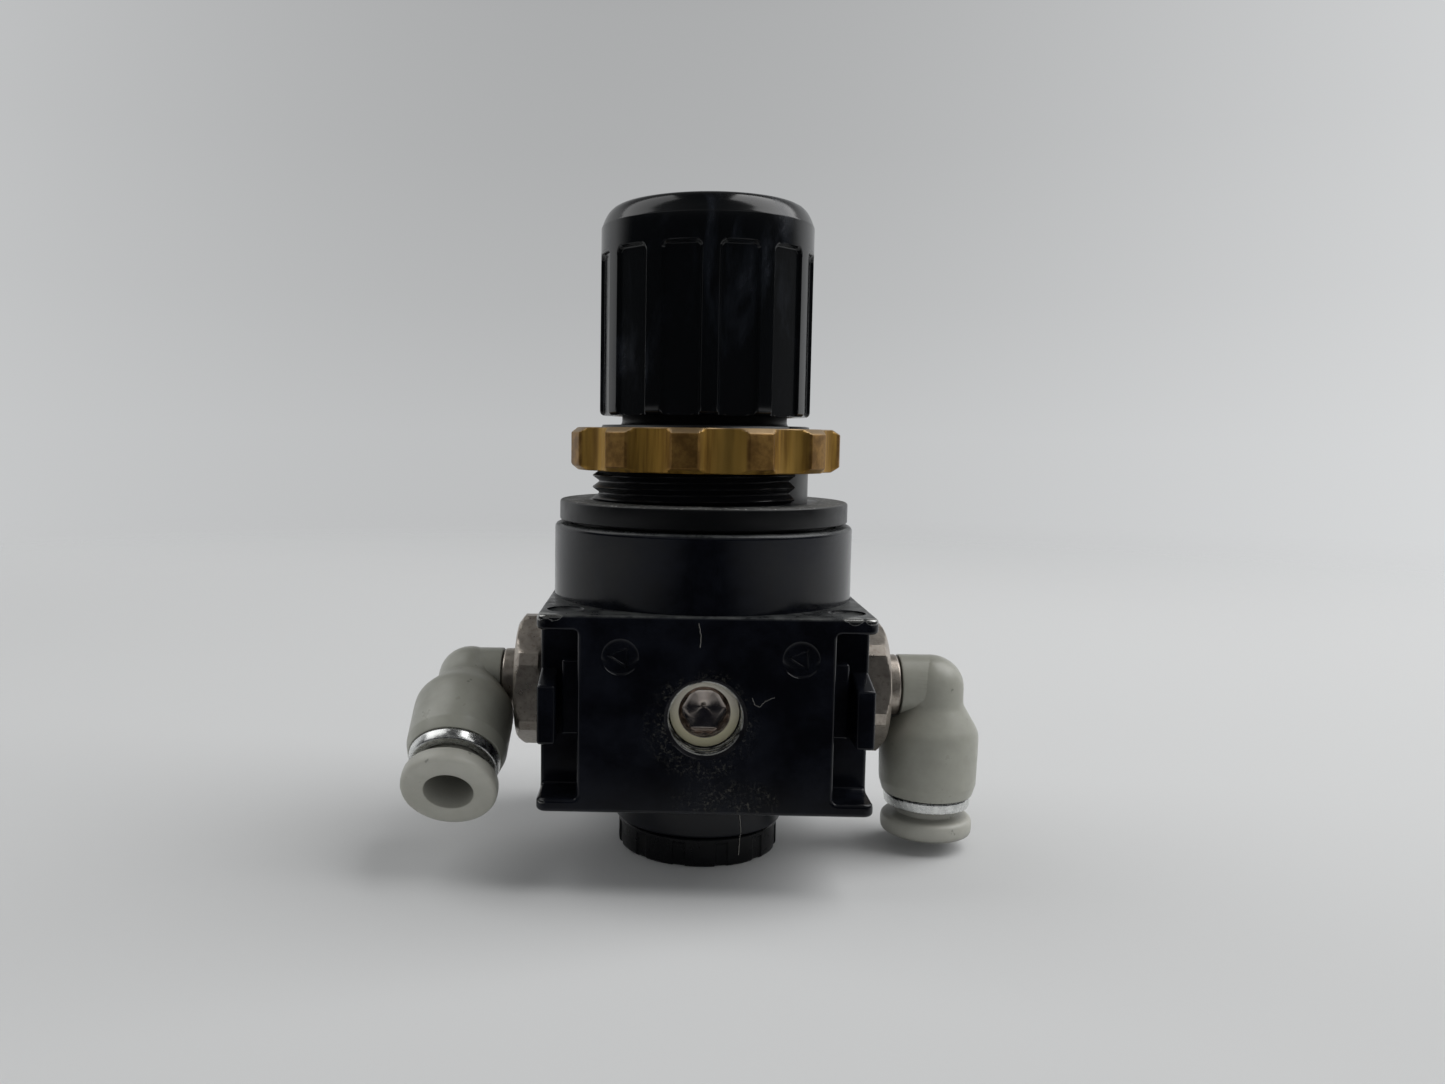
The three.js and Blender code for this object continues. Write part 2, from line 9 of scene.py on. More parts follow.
import bpy
import numpy as np
from mathutils import Matrix, Vector

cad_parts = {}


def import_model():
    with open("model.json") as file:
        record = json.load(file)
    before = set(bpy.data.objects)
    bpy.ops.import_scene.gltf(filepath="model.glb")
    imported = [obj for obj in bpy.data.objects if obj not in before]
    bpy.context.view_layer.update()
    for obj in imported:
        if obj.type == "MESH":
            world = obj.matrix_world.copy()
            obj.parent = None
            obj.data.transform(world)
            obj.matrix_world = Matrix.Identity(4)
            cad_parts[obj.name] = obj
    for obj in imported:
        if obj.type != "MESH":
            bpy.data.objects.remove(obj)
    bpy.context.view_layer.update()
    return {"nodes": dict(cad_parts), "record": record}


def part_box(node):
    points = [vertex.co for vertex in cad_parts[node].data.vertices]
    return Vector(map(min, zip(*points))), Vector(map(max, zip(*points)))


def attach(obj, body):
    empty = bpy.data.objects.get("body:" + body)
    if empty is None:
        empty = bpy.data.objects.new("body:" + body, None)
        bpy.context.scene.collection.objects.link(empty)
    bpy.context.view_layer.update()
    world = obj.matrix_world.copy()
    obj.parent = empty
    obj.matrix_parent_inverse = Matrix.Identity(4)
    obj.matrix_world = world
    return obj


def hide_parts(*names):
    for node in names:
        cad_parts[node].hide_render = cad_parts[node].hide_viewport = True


MM = 0.001
TAU = 2 * math.pi
DEG = math.pi / 180

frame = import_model()


def span(node):
    """Lowest and highest corner of a CAD node, in millimetres."""
    low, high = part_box(node)
    return np.array(low) / MM, np.array(high) / MM


BODY_LOW, BODY_HIGH = span("body")
KNOB_LOW, KNOB_HIGH = span("knob")
NUT_LOW, NUT_HIGH = span("panel_nut")
BONNET_LOW, BONNET_HIGH = span("bonnet")
CAP_LOW, CAP_HIGH = span("bottom_cap")
PLUG_LOW, PLUG_HIGH = span("front_plug")

BASE = 0.6    # the frame stands the cap on the floor, this much above part.mjs's own heights
FACE_Y = BODY_HIGH[1]
BLOCK_BOTTOM = 9.7 + BASE
BLOCK_TOP = 33.35 + BASE
RING_R = 19.6
RING_TOP = BODY_HIGH[2]
BOSS_R = 11.25
CAP_R = 10.7
CAP_TOP = 3.8
PORT_Z = (PLUG_LOW[2] + PLUG_HIGH[2]) / 2
PORT_FLOOR = 10.4
PLUG_DEPTH = 3.3
MARKS_X = (-10.1, 11.0)
MARK_Z = 29.1

FLANGE_R = BONNET_HIGH[0]
FLANGE_BOTTOM = 43.2 + BASE
FLANGE_TOP = 45.85 + BASE
THREAD_R, THREAD_ROOT_R, THREAD_PITCH = 14.7, 13.85, 1.5
THREAD_TOP = 55.6 + BASE
NECK_R = 10.85
PLAIN_HALF = 41 * DEG    # half of the stretch without thread, on the +X side

SIDE = {"left": -1, "right": 1}
HEX_TURN = {"left": 28.5, "right": 17.8}
HEX_FLATS, HEX_START, HEX_END = 16.0, 20.3, 24.3
COLLAR_END = 26.5
SWIVEL = {"left": -58.0, "right": 0.0}
ELBOW_X = 31.0
SOCKET_END = -14.5
RELEASE_END = -19.9


# ---------- node helpers
def is_socket(value):
    return isinstance(value, bpy.types.NodeSocket)


class Nodes:
    """Short ways to make the nodes of a tree. A value may be a number or another node's output."""

    def __init__(self, tree):
        self.tree = tree

    def link(self, source, target):
        self.tree.links.new(source, target)

    def node(self, kind, inputs=None, **settings):
        made = self.tree.nodes.new(kind)
        for key, value in settings.items():
            setattr(made, key, value)
        for key, value in (inputs or {}).items():
            if is_socket(value):
                self.link(value, made.inputs[key])
            else:
                made.inputs[key].default_value = value
        return made

    def math(self, operation, a, b=0.0):
        return self.node("ShaderNodeMath", {0: a, 1: b}, operation=operation).outputs[0]

    def times(self, a, b):
        return self.math("MULTIPLY", a, b)

    def plus(self, a, b):
        return self.math("ADD", a, b)

    def greater(self, a, b):
        return self.math("MAXIMUM", a, b)

    def split(self, vector):
        return self.node("ShaderNodeSeparateXYZ", {0: vector}).outputs


class Shader(Nodes):
    """A Principled material and its textures, which follow the object's own coordinates in metres."""

    def __init__(self, name, color, roughness, metallic=0.0, **sockets):
        self.material = bpy.data.materials.new(name)
        self.material.use_nodes = True
        super().__init__(self.material.node_tree)
        self.bsdf = self.tree.nodes["Principled BSDF"]
        self.bsdf.inputs["Base Color"].default_value = (*color, 1)
        self.bsdf.inputs["Roughness"].default_value = roughness
        self.bsdf.inputs["Metallic"].default_value = metallic
        for key, value in sockets.items():
            self.bsdf.inputs[key.replace("_", " ")].default_value = value
        self.coords = self.node("ShaderNodeTexCoord").outputs["Object"]

    def stretched(self, scale):
        return self.node("ShaderNodeMapping", {"Vector": self.coords, "Scale": scale}).outputs[0]

    def noise(self, scale, detail=3.0, rough=0.55, coords=None, distortion=0.0):
        values = {"Vector": coords or self.coords, "Scale": scale, "Detail": detail, "Roughness": rough,
                  "Distortion": distortion}
        return self.node("ShaderNodeTexNoise", values).outputs["Fac"]

    def step(self, value, low, high, to_low=0.0, to_high=1.0):
        """An eased step from to_low at low to to_high at high."""
        values = {"Value": value, "From Min": low, "From Max": high, "To Min": to_low, "To Max": to_high}
        return self.node("ShaderNodeMapRange", values, interpolation_type="SMOOTHSTEP").outputs["Result"]

    def mix(self, factor, a, b):
        a, b = (value if is_socket(value) else (*value, 1) for value in (a, b))
        return self.node("ShaderNodeMix", {0: factor, 6: a, 7: b}, data_type="RGBA").outputs[2]

    def axes(self):
        return self.split(self.coords)

    def up(self):
        """How far the surface faces up: the Z part of its normal."""
        return self.split(self.node("ShaderNodeNewGeometry").outputs["Normal"])[2]

    def radius(self, u, v):
        """Distance from an axis, from the two coordinates across it."""
        return self.math("SQRT", self.plus(self.times(u, u), self.times(v, v)))

    def distance(self, point, scale=(1, 1, 1)):
        """Millimetres from a point to the surface, each axis weighted by scale."""
        from_point = {0: self.coords, 1: [v * MM for v in point]}
        away = self.node("ShaderNodeVectorMath", from_point, operation="SUBTRACT").outputs[0]
        weighting = {0: away, 1: [v / MM for v in scale]}
        weighted = self.node("ShaderNodeVectorMath", weighting, operation="MULTIPLY").outputs[0]
        return self.node("ShaderNodeVectorMath", {0: weighted}, operation="LENGTH").outputs["Value"]

    def color(self, value):
        self.link(value, self.bsdf.inputs["Base Color"])

    def rough(self, value):
        self.link(value, self.bsdf.inputs["Roughness"])

    def metal(self, value):
        self.link(value, self.bsdf.inputs["Metallic"])

    def bump(self, height, strength, distance):
        values = {"Strength": strength, "Distance": distance * MM, "Height": height}
        self.link(self.node("ShaderNodeBump", values).outputs[0], self.bsdf.inputs["Normal"])

    def faded(self, surface, clear_part):
        """Lets a surface shader fade to nothing where clear_part reaches 1."""
        clear = self.node("ShaderNodeBsdfTransparent").outputs[0]
        blend = self.node("ShaderNodeMixShader", {0: clear_part, 1: surface, 2: clear})
        self.link(blend.outputs[0], self.tree.nodes["Material Output"].inputs["Surface"])


# ---------- materials
def body_paint():
    """Glossy black enamel with dust on the top plate and round the port, and chipped front corners."""
    s = Shader("body_paint", (0.002, 0.0024, 0.0036), 0.25, Specular_IOR_Level=0.3)
    grain = s.noise(900, 4, 0.6)
    blotch = s.noise(160, 4, 0.65)
    fine = s.noise(2600, 4, 0.7)
    # Random blotches of blue-black, lifted to stand in for a faint bluish sheen: partly the paint's own
    # tone, partly painted sheen.
    blue_tone_and_sheen = s.mix(s.step(blotch, 0.35, 0.7), (0.0020, 0.0023, 0.0038), (0.0055, 0.0066, 0.0105))
    up = s.step(s.up(), 0.35, 0.9)
    up = s.times(up, s.step(s.axes()[2], 32.4 * MM, 33.4 * MM, 0.03, 1.0))
    film = s.times(up, s.step(s.noise(420, 5, 0.7), 0.36, 0.66, 0.25, 1.0))
    filmed = s.mix(film, blue_tone_and_sheen, (0.062, 0.065, 0.064))
    low = s.step(s.distance((3.0, -FACE_Y, 12.2), (0.15, 0.3, 0.42)), 1.3, 0.3)
    rim = s.step(s.distance((-0.6, -FACE_Y, PORT_Z - 0.8), (1, 0.3, 1)), 7.4, 5.2)
    patch = s.step(s.noise(520, 4, 0.7), 0.42, 0.62, 0.15, 1.0)
    settled = s.greater(low, s.times(rim, 0.8))
    settled = s.times(settled, s.step(fine, 0.48, 0.66))
    settled = s.times(settled, patch)
    dirty = s.mix(s.times(settled, 0.75), filmed, (0.062, 0.059, 0.048))
    worn = None
    chips = {(-19.5, -19.7, BLOCK_TOP - 0.15): 0.8, (-18.0, -20.2, BLOCK_TOP - 0.3): 0.7,
             (17.2, -20.2, BLOCK_TOP - 0.1): 0.75, (19.2, -19.9, BLOCK_TOP - 0.3): 0.65,
             (-19.9, -19.6, 25.6): 0.4, (-19.3, -20.1, 11.5): 0.3, (19.7, -19.6, 25.7): 0.4}
    for point, reach in chips.items():
        ball = s.distance(point, (0.75 / reach, 0.6 / reach, 1.6 / reach))
        ball = s.plus(ball, s.times(s.noise(620, 4, 0.6), 2.2))
        spot = s.step(ball, 2.3, 2.0)
        worn = spot if worn is None else s.greater(worn, spot)
    s.color(s.mix(worn, dirty, (0.30, 0.30, 0.29)))
    s.metal(worn)
    matte = s.plus(s.times(film, 0.3), s.times(settled, 0.3))
    s.rough(s.plus(s.step(blotch, 0.3, 0.7, 0.13, 0.22), matte))
    s.bump(s.plus(grain, s.times(worn, -1.2)), 0.12, 0.03)
    return s.material


def bare_thread():
    """Worn crests of the gauge port threads, dark between them."""
    s = Shader("bare_thread", (0.2, 0.2, 0.19), 0.3, 0.9, Specular_IOR_Level=0.15)
    x, y, z = s.axes()
    rise = s.math("SUBTRACT", z, PORT_Z * MM)
    radius = s.radius(x, rise)
    crest = s.step(radius, 4.50 * MM, 4.36 * MM)
    crest = s.times(crest, s.step(s.noise(420, 3, 0.6), 0.36, 0.56))
    s.color(s.mix(crest, (0.006, 0.006, 0.008), (0.50, 0.50, 0.47)))
    s.metal(crest)
    s.rough(s.step(s.noise(1500, 2, 0.5), 0.3, 0.7, 0.16, 0.30))
    s.bump(s.noise(2500, 2, 0.5), 0.12, 0.02)
    return s.material


def bonnet_resin():
    """Black resin, dusty on the flange and rubbed grey on the stretch without thread."""
    s = Shader("bonnet_resin", (0.003, 0.0033, 0.004), 0.36, Specular_IOR_Level=0.3)
    x, y, z = s.axes()
    radius = s.radius(x, y)
    up = s.times(s.step(s.up(), 0.5, 0.95), s.step(radius, 14.9 * MM, 15.4 * MM))
    cloud = s.noise(260, 5, 0.7)
    dust = s.times(up, s.step(cloud, 0.35, 0.62, 0.3, 1.0))
    speck = s.times(s.step(s.noise(1700, 2, 0.5), 0.60, 0.70), up)
    scuffed = s.times(s.step(x, 11 * MM, 13.2 * MM), s.step(radius, 14.2 * MM, 13.9 * MM))
    scuffed = s.times(scuffed, s.step(cloud, 0.3, 0.6))
    side = s.mix(scuffed, (0.0028, 0.003, 0.0038), (0.035, 0.036, 0.037))
    body = s.mix(dust, side, (0.12, 0.122, 0.118))
    s.color(s.mix(speck, body, (0.36, 0.36, 0.34)))
    s.rough(s.plus(s.step(cloud, 0.3, 0.7, 0.28, 0.40), s.times(dust, 0.3)))
    s.bump(s.noise(1300, 4, 0.6), 0.14, 0.03)
    return s.material


def knob_resin():
    """Glossy black resin with faint bluish finger smears."""
    s = Shader("knob_resin", (0.003, 0.0034, 0.004), 0.14, Specular_IOR_Level=0.38)
    smear = s.noise(150, 5, 0.68, s.stretched((1, 1, 0.4)), 0.8)
    wipe = s.noise(600, 4, 0.6, s.stretched((1, 1, 0.12)))
    touched = s.times(s.step(smear, 0.48, 0.68), s.step(wipe, 0.35, 0.7, 0.35, 1.0))
    s.color(s.mix(touched, (0.0026, 0.003, 0.0036), (0.0085, 0.011, 0.0165)))
    s.rough(s.plus(s.times(touched, 0.2), 0.15))
    s.bump(s.noise(420, 3, 0.5), 0.08, 0.05)
    return s.material


def cap_resin():
    """Satin black resin of the bottom cap."""
    s = Shader("cap_resin", (0.002, 0.0023, 0.0035), 0.3, Specular_IOR_Level=0.22)
    cloud = s.noise(240, 4, 0.65)
    s.color(s.mix(s.step(cloud, 0.45, 0.75), (0.0016, 0.0018, 0.0028), (0.0045, 0.005, 0.006)))
    s.rough(s.step(cloud, 0.3, 0.7, 0.22, 0.36))
    s.bump(s.noise(1100, 3, 0.6), 0.16, 0.03)
    return s.material


def nut_brass():
    """Streaked golden brass in the scallops, browner on the lands and duller on top."""
    s = Shader("nut_brass", (0.35, 0.21, 0.05), 0.34, 0.78)
    x, y, z = s.axes()
    radius = s.radius(x, y)
    land = s.step(radius, (NUT_HIGH[0] - 0.42) * MM, (NUT_HIGH[0] - 0.12) * MM)
    streak = s.noise(900, 4, 0.65, s.stretched((1, 1, 0.05)))
    wide = s.noise(210, 3, 0.6, s.stretched((1, 1, 0.12)))
    mottle = s.noise(520, 4, 0.65)
    golden = s.mix(s.step(streak, 0.36, 0.66), (0.20, 0.103, 0.018), (0.42, 0.238, 0.044))
    golden = s.mix(s.step(wide, 0.40, 0.66), golden, (0.50, 0.305, 0.072))
    brown = s.mix(s.step(mottle, 0.35, 0.7), (0.17, 0.088, 0.022), (0.33, 0.185, 0.050))
    both = s.mix(land, golden, brown)
    level = s.step(s.up(), 0.3, 0.8)
    s.color(s.mix(level, both, (0.30, 0.205, 0.105)))
    s.rough(s.plus(s.step(streak, 0.3, 0.7, 0.34, 0.50), s.times(land, 0.05)))
    s.bump(s.plus(streak, s.times(mottle, 0.5)), 0.22, 0.03)
    return s.material


def nickel():
    """Dull warm nickel plating of the two studs."""
    s = Shader("nickel", (0.45, 0.41, 0.365), 0.3, 0.85)
    mottle = s.noise(420, 5, 0.6)
    grain = s.noise(1900, 4, 0.7)
    plated = s.mix(s.step(mottle, 0.3, 0.7), (0.37, 0.33, 0.29), (0.50, 0.455, 0.40))
    s.color(s.mix(s.step(grain, 0.45, 0.75), plated, (0.30, 0.255, 0.215)))
    s.rough(s.plus(s.step(mottle, 0.3, 0.7, 0.24, 0.34), s.times(grain, 0.06)))
    s.bump(s.plus(mottle, s.times(grain, 0.4)), 0.1, 0.02)
    return s.material


def plug_nickel():
    """Bright nickel in the plug's socket, with a pale brassy rim."""
    s = Shader("plug_nickel", (0.5, 0.46, 0.38), 0.24, 1.0)
    x, y, z = s.axes()
    rise = s.math("SUBTRACT", z, PORT_Z * MM)
    radius = s.radius(x, rise)
    rim = s.step(radius, 3.05 * MM, 3.2 * MM)
    mottle = s.noise(900, 4, 0.65)
    down = s.step(z, (PORT_Z + 2.5) * MM, (PORT_Z - 3.0) * MM)
    brassy = s.mix(down, (0.74, 0.70, 0.60), (0.86, 0.81, 0.56))
    bright = s.mix(s.step(mottle, 0.3, 0.7), (0.66, 0.57, 0.51), (0.82, 0.74, 0.68))
    s.color(s.mix(rim, bright, brassy))
    s.metal(s.math("SUBTRACT", 1.0, s.times(rim, 0.72)))
    s.rough(s.plus(s.step(mottle, 0.3, 0.7, 0.10, 0.20), s.times(rim, 0.22)))
    s.bump(mottle, 0.15, 0.02)
    return s.material


def chrome():
    """Bright plating of the guide rings."""
    s = Shader("guide_chrome", (0.66, 0.67, 0.66), 0.12, 1.0)
    scuff = s.noise(1200, 4, 0.65)
    s.color(s.mix(s.step(scuff, 0.35, 0.7), (0.62, 0.63, 0.62), (0.86, 0.87, 0.85)))
    s.rough(s.step(scuff, 0.3, 0.7, 0.18, 0.34))
    s.bump(scuff, 0.08, 0.02)
    return s.material


def grey_resin(name, light, dark, roughness):
    """Slightly translucent grey resin, with painted shade darkening it in its nooks and where other parts
    come close.
    """
    s = Shader(name, light, roughness)
    cloud = s.noise(170, 4, 0.65)
    speck = s.times(s.step(s.noise(800, 2, 0.5), 0.72, 0.79), 0.55)
    unshaded = s.mix(speck, s.mix(s.step(cloud, 0.3, 0.72), light, dark), tuple(0.3 * v for v in dark))
    # Painted shade: ambient occlusion darkens the colour in nooks, inside bores and where other parts come
    # close.
    occlusion = s.node("ShaderNodeAmbientOcclusion", {"Distance": 9 * MM}, samples=6)
    painted_shade = s.step(occlusion.outputs["AO"], 0.15, 0.80, 0.85, 0.0)
    s.color(s.mix(painted_shade, unshaded, tuple(0.38 * v for v in dark)))
    s.rough(s.step(cloud, 0.3, 0.7, roughness - 0.05, roughness + 0.1))
    s.bump(s.noise(1500, 4, 0.6), 0.14, 0.025)
    s.bsdf.inputs["Subsurface Weight"].default_value = 0.08
    s.bsdf.inputs["Subsurface Radius"].default_value = (0.6 * MM, 0.55 * MM, 0.45 * MM)
    s.bsdf.inputs["Subsurface Scale"].default_value = 1.0
    return s.material


def rubber():
    """Dull black rubber of the seals and the diaphragm."""
    s = Shader("rubber", (0.012, 0.012, 0.013), 0.6)
    s.color(s.mix(s.noise(900, 3, 0.6), (0.008, 0.008, 0.009), (0.022, 0.022, 0.023)))
    s.rough(s.step(s.noise(700, 3, 0.6), 0.3, 0.7, 0.5, 0.75))
    s.bump(s.noise(1800, 3, 0.6), 0.2, 0.03)
    return s.material


def lint():
    """Pale lint."""
    s = Shader("lint", (0.3, 0.29, 0.26), 0.7)
    s.color(s.mix(s.noise(3000, 2, 0.5), (0.22, 0.21, 0.19), (0.42, 0.41, 0.38)))
    s.rough(s.step(s.noise(2000, 2, 0.5), 0.3, 0.7, 0.6, 0.8))
    s.bump(s.noise(6000, 2, 0.5), 0.2, 0.01)
    return s.material


def turned_metal(name, color, roughness):
    """Metal with fine turning marks round the knob axis."""
    s = Shader(name, color, roughness, 1.0)
    ring = s.noise(1800, 3, 0.6, s.stretched((0.08, 0.08, 1)))
    s.color(s.mix(s.step(ring, 0.3, 0.7), tuple(0.7 * v for v in color), color))
    s.rough(s.step(ring, 0.3, 0.7, roughness - 0.06, roughness + 0.1))
    s.bump(ring, 0.2, 0.02)
    return s.material


PAINT = body_paint()
THREAD_METAL = bare_thread()
BONNET = bonnet_resin()
KNOB = knob_resin()
CAP = cap_resin()
BRASS = nut_brass()
NICKEL = nickel()
PLUG = plug_nickel()
CHROME = chrome()
ELBOW = grey_resin("elbow_resin", (0.355, 0.355, 0.308), (0.295, 0.295, 0.253), 0.32)
BUTTON = grey_resin("button_resin", (0.44, 0.435, 0.388), (0.38, 0.375, 0.33), 0.38)
RUBBER = rubber()
LINT = lint()
INNER_BRASS = turned_metal("inner_brass", (0.5, 0.34, 0.12), 0.3)
STEEL = turned_metal("spring_steel", (0.42, 0.43, 0.45), 0.3)
ZINC = turned_metal("zinc_parts", (0.4, 0.4, 0.38), 0.45)


# ---------- mesh helpers
def made_object(name, vertices, faces, *materials):
    """A mesh object in the scene, from plain lists."""
    mesh = bpy.data.meshes.new(name)
    mesh.from_pydata([tuple(v) for v in vertices], [], faces)
    mesh.validate()
    for material in materials:
        mesh.materials.append(material)
    made = bpy.data.objects.new(name, mesh)
    bpy.context.scene.collection.objects.link(made)
    return made


def turned(name, profile, columns, material, radius_of=None):
    """Revolves (r, z) points about Z. radius_of(theta, r, z) may reshape r.

    columns is a count or a list of angles. A profile that starts and ends on the axis makes a solid;
    one that doesn't is closed on itself.
    """
    angles = columns
    if isinstance(columns, int):
        angles = np.linspace(0, TAU, columns, endpoint=False)
    angles = np.asarray(angles)
    count = len(angles)
    vertices, rows = [], []
    for r, z in profile:
        if r < 1e-6:
            rows.append([len(vertices)] * count)
            vertices.append((0.0, 0.0, z))
            continue
        radii = np.full(count, float(r))
        if radius_of:
            radii = radius_of(angles, radii, z)
        rows.append(list(range(len(vertices), len(vertices) + count)))
        vertices.extend(np.stack([radii * np.cos(angles), radii * np.sin(angles), np.full(count, z)], 1))
    if profile[0][0] > 1e-6:
        rows.append(rows[0])
    faces = []
    for a, b in zip(rows, rows[1:]):
        for i in range(count):
            j = (i + 1) % count
            corner = [a[i], a[j], b[j], b[i]]
            face = [v for k, v in enumerate(corner) if v != corner[k - 1]]
            if len(face) > 2:
                faces.append(face)
    return made_object(name, vertices, faces, material)


def box_cutter(name, low, high, material):
    """A box between two corners."""
    (x0, y0, z0), (x1, y1, z1) = low, high
    corners = [(x, y, z) for z in (z0, z1) for y in (y0, y1) for x in (x0, x1)]
    faces = [(0, 2, 3, 1), (4, 5, 7, 6), (0, 1, 5, 4), (2, 6, 7, 3), (0, 4, 6, 2), (1, 3, 7, 5)]
    return made_object(name, corners, faces, material)


def prism(name, outline, axis, start, end, material):
    """A straight prism of a counter-clockwise (u, v) outline along axis 'x', 'y' or 'z'."""
    def placed(u, v, along):
        return {"x": (along, u, v), "y": (u, along, v), "z": (u, v, along)}[axis]

    n = len(outline)
    vertices = [placed(u, v, along) for along in (start, end) for u, v in outline]
    faces = [tuple(range(n))[::-1], tuple(range(n, 2 * n))]
    faces += [(i, (i + 1) % n, n + (i + 1) % n, n + i) for i in range(n)]
    return outward(made_object(name, vertices, faces, material))


def outward(made):
    """Turns every face outwards, by the sign of the enclosed volume."""
    mesh = made.data
    mesh.calc_loop_triangles()
    points = np.array([v.co for v in mesh.vertices])
    a, b, c = (points[[t.vertices[k] for t in mesh.loop_triangles]] for k in range(3))
    if np.einsum("ij,ij->i", a, np.cross(b, c)).sum() < 0:
        mesh.flip_normals()
    return made


def moved(made, matrix):
    """Moves the mesh itself and leaves the object at the origin."""
    made.data.transform(matrix)
    return made


def baked(made):
    """Replaces the object's mesh with its evaluated one, modifiers applied."""
    bpy.context.view_layer.update()
    graph = bpy.context.evaluated_depsgraph_get()
    fresh = bpy.data.meshes.new_from_object(made.evaluated_get(graph), depsgraph=graph)
    made.modifiers.clear()
    made.data = fresh
    return made


def combine(base, operation, *tools):
    """Unites the tools with the base or cuts them from it, and removes them."""
    for tool in tools:
        outward(tool)
        cut = base.modifiers.new("combine", "BOOLEAN")
        cut.operation = operation
        cut.solver = "EXACT"
        cut.object = tool
        cut.material_mode = "TRANSFER"
        baked(base)
        bpy.data.objects.remove(tool)
    return base


def softened(made, width, segments):
    """Rounds every edge sharper than 32 degrees."""
    rounding = made.modifiers.new("round", "BEVEL")
    rounding.width = width
    rounding.segments = segments
    rounding.limit_method = "ANGLE"
    rounding.angle_limit = 32 * DEG
    rounding.miter_outer = "MITER_ARC"
    rounding.use_clamp_overlap = True
    return baked(made)


def shaded(made, angle, weighted):
    """Smooth shading up to the angle, evened out over large flats where weighted is true."""
    for face in made.data.polygons:
        face.use_smooth = True
    made.data.set_sharp_from_angle(angle=angle * DEG)
    if weighted:
        normals = made.modifiers.new("normals", "WEIGHTED_NORMAL")
        normals.keep_sharp = True
        normals.weight = 60


def finished(made, body, node, angle=35, weighted=False):
    """Turns millimetres to metres, shades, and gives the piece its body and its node."""
    outward(made)
    made.data.transform(Matrix.Scale(MM, 4))
    shaded(made, angle, weighted)
    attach(made, body)
    if node:
        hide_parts(node)


def along_x(side):
    """Turns +Z of a turned piece to +X or -X."""
    return Matrix.Rotation(side * math.pi / 2, 4, "Y")


def along_y(side):
    """Turns +Z of a turned piece to +Y or -Y."""
    return Matrix.Rotation(-side * math.pi / 2, 4, "X")


def arc(cx, cz, r, start, end, steps):
    """Points of a circular arc in the (r, z) plane, angles in degrees."""
    return [(cx + r * math.cos(a * DEG), cz + r * math.sin(a * DEG)) for a in np.linspace(start, end, steps)]


def smooth(value):
    """An eased step from 0 to 1."""
    t = np.clip(value, 0, 1)
    return t * t * (3 - 2 * t)


def wrapped(angle, period):
    """The angle less whole periods, within half a period of zero."""
    return (angle + period / 2) % period - period / 2


def clustered(period, centre, marks, width, dense, sparse):
    """Angles round a shape that repeats every period, packed at the marks on both sides of each centre.

    All in degrees but the result; dense and sparse count the angles at a mark and over the period.
    """
    local = set(np.linspace(-period / 2, period / 2, sparse, endpoint=False))
    for mark in marks:
        for side in (-1, 1):
            local |= set(np.linspace(side * mark - width, side * mark + width, dense))
    local = sorted(a for a in local if -period / 2 <= a < period / 2)
    kept = [local[0]]
    for a in local[1:]:
        if a - kept[-1] > 0.05:
            kept.append(a)
    repeats = 360 // period
    return np.concatenate([np.array(kept) + centre + i * period for i in range(repeats)]) * DEG


# ---------- knob
def knob():
    """The grip: a domed crown over twelve flat-floored grooves with rounded top corners."""
    radius, bottom, top = KNOB_HIGH[0], KNOB_LOW[2], KNOB_HIGH[2]
    floor_r, half_width = 13.12, 2.37
    groove_top, corner, edge = 77.45 + BASE, 0.85, 0.19
    pitch, first = 30, -75

    def grooved(theta, r, z):
        if not bottom - 1 < z < groove_top + 1:
            return r
        phi = wrapped(theta - first * DEG, pitch * DEG)
        across = np.abs(np.tan(phi) * floor_r)
        dx, dz = across - (half_width - corner), np.full_like(across, z - (groove_top - corner))
        outside = np.hypot(np.maximum(dx, 0), np.maximum(dz, 0))
        outside += np.minimum(np.maximum(dx, dz), 0) - corner
        depth = smooth(0.5 - outside / (2 * edge))
        flat = np.minimum(r, floor_r / np.cos(phi))
        return np.where(r > floor_r - 0.5, r + (flat - r) * depth, r)

    drops = {3.0: 0.02, 6.0: 0.07, 9.0: 0.15, 11.0: 0.26, 11.6: 0.32, 12.05: 0.44, 12.45: 0.66, 12.72: 0.90,
             12.95: 1.16, 13.15: 1.47, 13.35: 1.85, 13.55: 2.32, 13.71: 2.76, 13.775: 2.90, 13.80: 3.02}
    crown = [(0, top)] + [(r, top - drop) for r, drop in drops.items()]
    arch = np.arange(groove_top + 0.4, groove_top - corner - 0.3, -0.13)
    wall = [(radius, z) for z in (*arch, *np.linspace(arch[-1] - 1.5, bottom + 1.6, 9), bottom + 0.6)]
    lip = [(-0.05, 0.36), (-0.18, 0.18), (-0.38, 0.05), (-0.62, 0)]
    inside = [(12.1, 0), (11.9, 0.1), (11.85, 0.3), (11.55, 0.5), (11.1, 0.8), (11.1, 1.5), (11.55, 2.0),
              (11.55, 22.5), (6.3, 22.5), (6.3, 12.9), (6.1, 12.7), (4.9, 12.7), (4.7, 12.9), (4.7, 23.5),
              (0, 23.5)]
    profile = crown + wall + [(radius + out, bottom + up) for out, up in lip]
    profile += [(r, bottom + up) for r, up in inside]
    rim = math.degrees(math.atan(half_width / floor_r))
    angles = clustered(pitch, first, (rim, rim - 3.2), 1.5, 9, 18)
    finished(turned("knob_grip", profile, angles, KNOB, grooved), "knob", "knob", 40)


